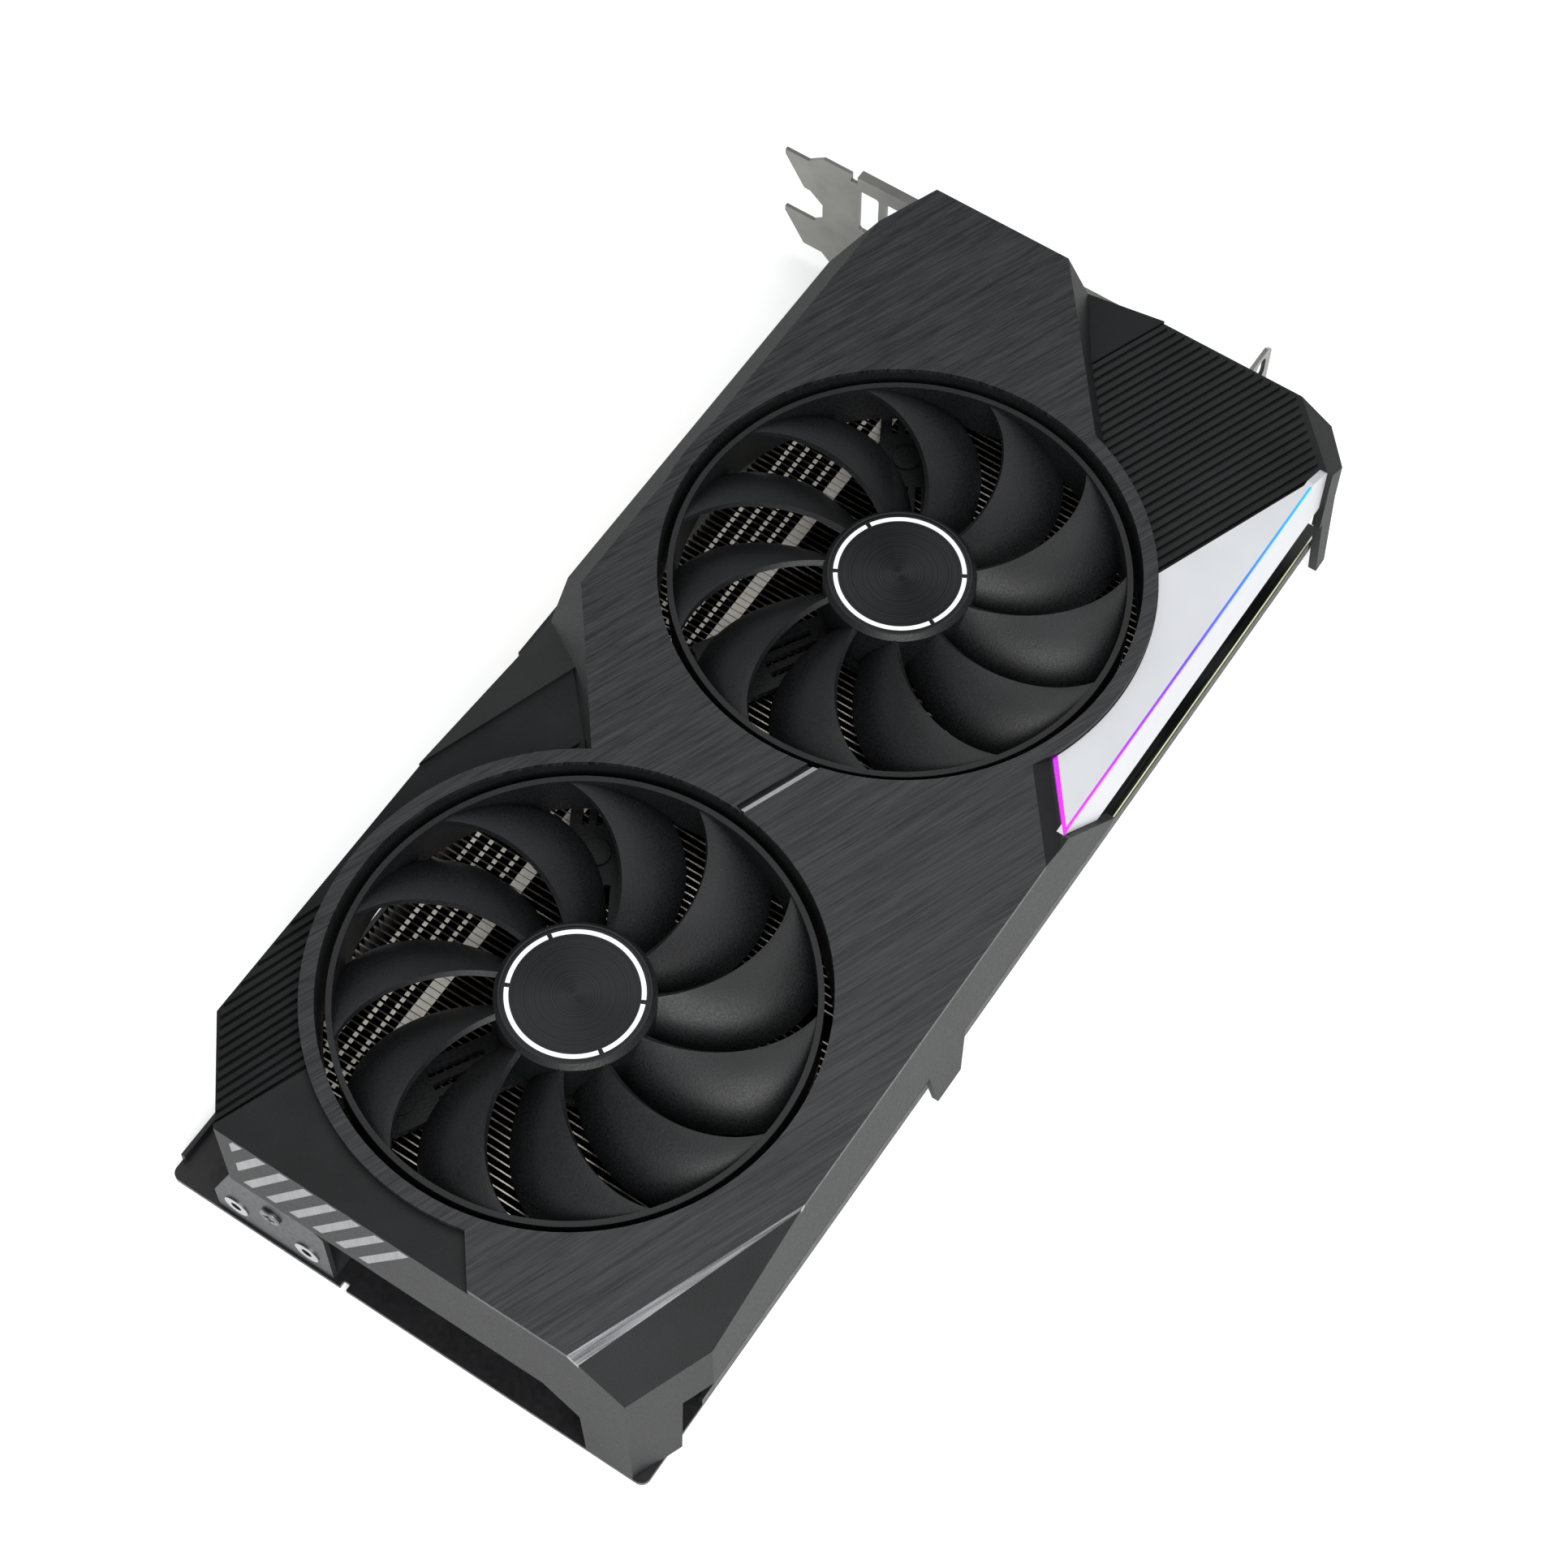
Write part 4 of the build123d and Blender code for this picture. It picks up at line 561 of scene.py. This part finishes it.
def prism(outline, low, high, axis="Z", soften=0.0):
    """A closed solid in mm: an outline swept along an axis, its edges rounded by soften."""
    spin = {"X": (2, 0, 1), "Y": (0, 2, 1), "Z": (0, 1, 2)}[axis]
    bm = bmesh.new()
    ends = []
    for level in (low, high):
        corners = [(u, v, level) for u, v in outline]
        ends.append([bm.verts.new([c[i] * MM for i in spin]) for c in corners])
    bm.faces.new(ends[0])
    bm.faces.new(ends[1])
    for i in range(len(outline)):
        j = (i + 1) % len(outline)
        bm.faces.new((ends[0][i], ends[0][j], ends[1][j], ends[1][i]))
    bmesh.ops.recalc_face_normals(bm, faces=bm.faces)
    if soften:
        bmesh.ops.bevel(
            bm, geom=bm.edges[:], offset=soften * MM, segments=2, affect="EDGES", profile=0.5,
        )
    mesh = bpy.data.meshes.new("prism")
    bm.to_mesh(mesh)
    bm.free()
    return mesh


def block(wide, deep):
    """A rectangle's corners round the origin."""
    return [(-wide / 2, -deep / 2), (wide / 2, -deep / 2), (wide / 2, deep / 2), (-wide / 2, deep / 2)]


def arc_band(inner, outer, first, last, steps=40):
    """A ring segment's corners, between two radii and two angles in degrees."""
    angles = [math.radians(first + (last - first) * i / steps) for i in range(steps + 1)]
    outside = [(outer * math.cos(a), outer * math.sin(a)) for a in angles]
    inside = [(inner * math.cos(a), inner * math.sin(a)) for a in reversed(angles)]
    return outside + inside


def joined(*meshes):
    """Several meshes as one."""
    bm = bmesh.new()
    for mesh in meshes:
        bm.from_mesh(mesh)
    one = bpy.data.meshes.new("joined")
    bm.to_mesh(one)
    bm.free()
    return one


def islands(node):
    """The box of each separate solid in a node, as low and high corners, sorted by place."""
    mesh = nodes[node].data
    leader = list(range(len(mesh.vertices)))

    def head(i):
        while leader[i] != i:
            leader[i] = leader[leader[i]]
            i = leader[i]
        return i

    same = {}
    for vertex in mesh.vertices:
        key = tuple(round(c, 6) for c in vertex.co)
        leader[vertex.index] = same.setdefault(key, vertex.index)
    for edge in mesh.edges:
        leader[head(edge.vertices[0])] = head(edge.vertices[1])
    groups = {}
    for vertex in mesh.vertices:
        groups.setdefault(head(vertex.index), []).append(nodes[node].matrix_world @ vertex.co)
    boxes = []
    for points in groups.values():
        low_corner = Vector([min(p[i] for p in points) for i in range(3)])
        high_corner = Vector([max(p[i] for p in points) for i in range(3)])
        boxes.append((low_corner, high_corner))
    return sorted(boxes, key=lambda box: tuple(round(c, 5) for c in box[0]))


print("helpers ready; fin count:", len(islands("front_fins")) + len(islands("rear_fins")))

# %% [markdown]
# Each fan's label carries a broken white ring: a long and a short arc, then the same again
# half a turn on. The arcs are a thin film of ink on the label, and they spin with the rotor.

# %% White rings on the fan labels
ring_inner = 12.9
ring_outer = 13.84
ink_thickness = 0.05
half_gap = 2.0
for name, (first_gap, second_gap) in (("front", (62.0, 121.0)), ("rear", (57.0, 116.0))):
    short_band = arc_band(ring_inner, ring_outer, first_gap + half_gap, second_gap - half_gap)
    long_band = arc_band(ring_inner, ring_outer, second_gap + half_gap, first_gap + 180 - half_gap)
    short_arc = prism(short_band, 0, ink_thickness)
    long_arc = prism(long_band, 0, ink_thickness)
    keep(f"{name}_label_ring", ring, f"{name}_rotor", joined(short_arc, long_arc), white_ink,
         Centre=fans[name], Count=2, First_Angle=0.0, Angle_Step=math.pi)
print(made)

# %% [markdown]
# Cooler fins lock together through folded tabs. Seen from the fans, the tabs of all the fins
# make one bright strip along the card, and rows of smaller tabs make dotted lines beside it.
# Their near-white colour is a painted highlight for the light that falls on them.

# %% Fin tabs
fin_step = 1.6
fold = [(0.1, -0.9), (0.3, -0.9), (0.3, -0.25), (1.5, -0.25), (1.5, 0.0), (0.1, 0.0)]
dot_share = 0.72
strip_drop = 29.0
tab_lift = 0.02
for name in ("front_fins", "rear_fins"):
    low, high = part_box(name)
    count = round((high[0] - low[0]) / (fin_step * MM))
    strip_tab = prism(fold, -1.5, 1.5, "Y", 0.05)
    start = Vector((low[0], fans["front"].y - strip_drop * MM, high[2] + tab_lift * MM))
    keep(f"{name}_strip", rows, "card", strip_tab, tab_painted_highlight, Start=start, Count=count,
         Step=Vector((fin_step * MM, 0, 0)), Rows=1, Row_Step=Vector((0, 0, 0)))
    dot_tab = prism([(u * dot_share, v) for u, v in fold], -0.45, 0.45, "Y", 0.05)
    start = start + Vector((0, -4.0 * MM, 0))
    keep(f"{name}_dots", rows, "card", dot_tab, tab_painted_highlight, Start=start, Count=count,
         Step=Vector((fin_step * MM, 0, 0)), Rows=4, Row_Step=Vector((0, -3.2 * MM, 0)))
print(made)

# %% [markdown]
# Every screw on such a card has a cross recess. One function builds a screw whose pan head
# has the recess cut in, head up at the origin, and the spots come from the CAD screws.

# %% Screws with a cross recess
def cross_screw(head, height, shank, length, slot=0.5, reach=0.62, round_steps=32):
    """A pan-head screw in mm with a cross recess, its head's top at the origin."""
    arm = head * reach
    cross = [
        (arm, -slot), (arm, slot), (slot, slot), (slot, arm), (-slot, arm), (-slot, slot),
        (-arm, slot), (-arm, -slot), (-slot, -slot), (-slot, -arm), (slot, -arm), (slot, -slot),
    ]
    bm = bmesh.new()
    circles = []
    profile = [
        (head * 0.78, 0.0), (head * 0.93, -height * 0.14), (head, -height * 0.42), (head, -height),
        (shank, -height), (shank, -length),
    ]
    for radius, level in profile:
        circle = []
        for i in range(round_steps):
            a = 2 * math.pi * i / round_steps
            corner = (radius * math.cos(a), radius * math.sin(a), level)
            circle.append(bm.verts.new([c * MM for c in corner]))
        circles.append(circle)
    for upper, lower in zip(circles, circles[1:]):
        for i in range(round_steps):
            j = (i + 1) % round_steps
            bm.faces.new((upper[i], upper[j], lower[j], lower[i]))
    bm.faces.new(circles[-1])
    rim = [bm.verts.new((u * MM, v * MM, 0)) for u, v in cross]
    floor = [bm.verts.new((u * 0.8 * MM, v * 0.8 * MM, -height * 0.7 * MM)) for u, v in cross]
    for i in range(len(cross)):
        j = (i + 1) % len(cross)
        bm.faces.new((rim[i], rim[j], floor[j], floor[i]))
    bm.faces.new(floor)
    top = [bm.edges.get((circles[0][i], circles[0][(i + 1) % round_steps])) for i in range(round_steps)]
    top += [bm.edges.get((rim[i], rim[(i + 1) % len(rim)])) for i in range(len(rim))]
    bmesh.ops.triangle_fill(bm, edges=top, use_beauty=True)
    bmesh.ops.recalc_face_normals(bm, faces=bm.faces)
    mesh = bpy.data.meshes.new("cross_screw")
    bm.to_mesh(mesh)
    bm.free()
    return mesh


def screws(node, facing, head, height, shank, finish):
    """Cross-recess screws in place of a node's plain ones, facing -Z, +Z or +X."""
    boxes = islands(node)
    turn, axis, end = {
        "-Z": ((math.pi, 0, 0), 2, 0),
        "+Z": ((0, 0, 0), 2, 1),
        "+X": ((0, math.pi / 2, 0), 0, 1),
    }[facing]
    heads = []
    for corners in boxes:
        spot = (corners[0] + corners[1]) / 2
        spot[axis] = corners[end][axis]
        heads.append(spot)
    length = (boxes[0][1][axis] - boxes[0][0][axis]) / MM
    piece = keep(f"{node}_cross", spots, "card", cross_screw(head, height, shank, length), finish,
                 at=heads, Turn=turn)
    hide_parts(node)


screws("backplate_screws", "-Z", 2.4, 0.8, 1.25, screw_zinc)
screws("spring_screws", "-Z", 2.6, 1.0, 1.5, steel_ground)
screws("bracket_screws", "+Z", 2.1, 1.2, 1.25, screw_zinc)
screws("brace_screw", "+X", 2.4, 0.9, 1.3, screw_grey)
print(made)

# %% [markdown]
# The edge connector has 82 gold fingers on each face, about 1 mm apart, 11 on one side of
# the key and 71 on the other. They are thin plating, so each is a rounded sliver on the board.

# %% Gold fingers
low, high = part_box("edge_contacts")
plating = 0.05
half_finger = 0.35
short_count = 11
long_count = 71
finger = prism(block(2 * half_finger, (high[1] - low[1]) / MM), 0, plating, soften=0.02)
middle_y = (low[1] + high[1]) / 2
both_faces = {"Rows": 2, "Row_Step": Vector((0, 0, high[2] - low[2] - plating * MM))}
keep("short_fingers", rows, "card", finger.copy(), gold_flash, Count=short_count,
     Start=Vector((low[0] + half_finger * MM, middle_y, low[2])), Step=Vector((0.95 * MM, 0, 0)),
     **both_faces)
long_start = low[0] + 13.75 * MM
long_step = (high[0] - half_finger * MM - long_start) / (long_count - 1)
long_fingers = keep("long_fingers", rows, "card", finger, gold_flash, Count=long_count,
                    Start=Vector((long_start, middle_y, low[2])), Step=Vector((long_step, 0, 0)),
                    **both_faces)
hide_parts("edge_contacts")
print(made)

# %% [markdown]
# A board is never bare between its big parts. Rows of chip resistors and capacitors stand
# along its edges: a ceramic body with a bright cap at each end.

# %% Chip parts along the board
low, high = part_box("board")
chip_body = prism(block(0.9, 0.8), 0, 0.5, soften=0.06)
chip_caps = joined(
    prism([(-0.8, -0.42), (-0.42, -0.42), (-0.42, 0.42), (-0.8, 0.42)], 0, 0.54, soften=0.06),
    prism([(0.42, -0.42), (0.8, -0.42), (0.8, 0.42), (0.42, 0.42)], 0, 0.54, soften=0.06),
)
fields = {
    "top_edge": (Vector((low[0] + 24 * MM, high[1] - 3.2 * MM, board_level)), 30, 3.4, 2, -2.6),
    "low_edge": (Vector((low[0] + 40 * MM, low[1] + 19 * MM, board_level)), 24, 3.0, 3, 2.2),
    "bracket_side": (Vector((low[0] + 19 * MM, low[1] + 30 * MM, board_level)), 2, 2.4, 26, 3.1),
}
for name, (start, count, step, row_count, row_step) in fields.items():
    shared = {
        "Start": start, "Count": count, "Step": Vector((step * MM, 0, 0)), "Rows": row_count,
        "Row_Step": Vector((0, row_step * MM, 0)),
    }
    keep(f"{name}_chips", rows, "card", chip_body.copy(), ceramic, **shared)
    keep(f"{name}_caps", rows, "card", chip_caps.copy(), solder_tin, **shared)
print(made)

# %% [markdown]
# The supply capacitors are rolled cans with a dark half-moon printed on top for the negative
# side. The display sockets' tongues carry fine gold contacts, which show through the bracket.

# %% Can marks and display contacts
mark = prism(arc_band(0.6, 2.5, 100, 260, 16), 0, 0.03)
tops = [((low.x + high.x) / 2, (low.y + high.y) / 2, high.z) for low, high in islands("capacitors")]
keep("can_marks", spots, "card", mark, chip_epoxy, at=tops, Turn=(0, 0, 0))
contact = prism([(-5.0, -0.17), (5.0, -0.17), (5.0, 0.17), (-5.0, 0.17)], 0, 0.04)
contact_step = 0.9
for index, (low, high) in enumerate(islands("socket_tongues")):
    start = Vector(((low.x + high.x) / 2 - 0.5 * MM, low.y + 1.2 * MM, high.z))
    count = int((high.y - low.y - 2.0 * MM) / (contact_step * MM))
    keep(f"display_contacts_{index + 1}", rows, "card", contact.copy(), gold_flash, Start=start,
         Count=count, Step=Vector((0, contact_step * MM, 0)), Rows=1, Row_Step=Vector((0, 0, 0)))
print("pieces made:", len(made), "faces:", sum(made.values()))

# %% [markdown]
# ## Studio
# The card lies on a pale floor in a wide pale tent. The tent is dim, because dark plastic
# mirrors it and would turn grey; the floor glows a little, which keeps it white all the same.
# A large soft box stands to the side, so each fan blade shows a soft crest of light and a dark
# far side. A second, weaker one nearly overhead lifts the flat faces.

# %% Floor, light and camera
def pale_floor():
    """Smooth pale studio board with barely visible mottling and a faint glow."""
    material, tree, shader = new_finish("studio_floor", Roughness=0.7)
    shader.inputs["Emission Color"].default_value = linear("#ffffff")
    shader.inputs["Emission Strength"].default_value = 0.4
    cloud = noise_at(tree, 300.0, 3.0)
    tree.links.new(spread(tree, cloud, "#f1f1f1", "#f5f5f5"), shader.inputs["Base Color"])
    return material


mesh = bpy.data.meshes.new("floor")
half_floor = 3.0
signs = ((-1, -1), (1, -1), (1, 1), (-1, 1))
mesh.from_pydata([(half_floor * u, half_floor * v, 0) for u, v in signs], [], [(0, 1, 2, 3)])
mesh.materials.append(pale_floor())
floor = bpy.data.objects.new("floor", mesh)
bpy.context.scene.collection.objects.link(floor)
floor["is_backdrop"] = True

tent_strength = 0.42
world = bpy.data.worlds.new("tent")
bpy.context.scene.world = world
bpy.context.scene.view_settings.view_transform = "Standard"
world.use_nodes = True
background = world.node_tree.nodes["Background"]
background.inputs["Color"].default_value = linear("#f7f8fa")
background.inputs["Strength"].default_value = tent_strength

centre = Vector((fans["front"] + fans["rear"]) / 2)


def soft_box(name, azimuth, elevation, distance, size, power):
    """A square area lamp that looks at the card's middle from a direction in degrees."""
    lamp = bpy.data.lights.new(name, "AREA")
    lamp.shape = "SQUARE"
    lamp.size = size
    lamp.energy = power
    holder = bpy.data.objects.new(name, lamp)
    a = math.radians(azimuth)
    e = math.radians(elevation)
    away = Vector((math.cos(a) * math.cos(e), math.sin(a) * math.cos(e), math.sin(e)))
    holder.location = centre + away * distance
    holder.rotation_euler = (-away).to_track_quat("-Z", "Y").to_euler()
    bpy.context.scene.collection.objects.link(holder)


soft_box("side_box", azimuth=40, elevation=38, distance=1.0, size=0.7, power=9.5)
soft_box("top_box", azimuth=150, elevation=75, distance=1.1, size=0.9, power=5)

view_azimuth = math.radians(123.41)
view_elevation = math.radians(60.95)
view_roll = math.radians(0.40)
view_distance = 0.6931
looking = Vector((
    -math.sin(view_azimuth) * math.cos(view_elevation),
    math.cos(view_azimuth) * math.cos(view_elevation),
    -math.sin(view_elevation),
))
aim_shift = Vector((-2.1 * MM, 8.45 * MM))
aim = Vector((centre.x + aim_shift.x, centre.y + aim_shift.y, face_level))
lens = bpy.data.cameras.new("camera")
lens.lens = 80
lens.sensor_width = 36
camera = bpy.data.objects.new("camera", lens)
turn = looking.to_track_quat("-Z", "Y").to_matrix().to_4x4() @ Matrix.Rotation(view_roll, 4, "Z")
camera.matrix_world = Matrix.Translation(aim - looking * view_distance) @ turn
bpy.context.scene.collection.objects.link(camera)
bpy.context.scene.camera = camera
print("camera at", [round(v / MM, 1) for v in camera.location], "mm")

# %% Finish
seen_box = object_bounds()
growth = [round((seen_box[1][i] - cad_box[1][i]) / MM, 3) for i in range(3)]
print("box grows by", growth, "mm at the high corner")
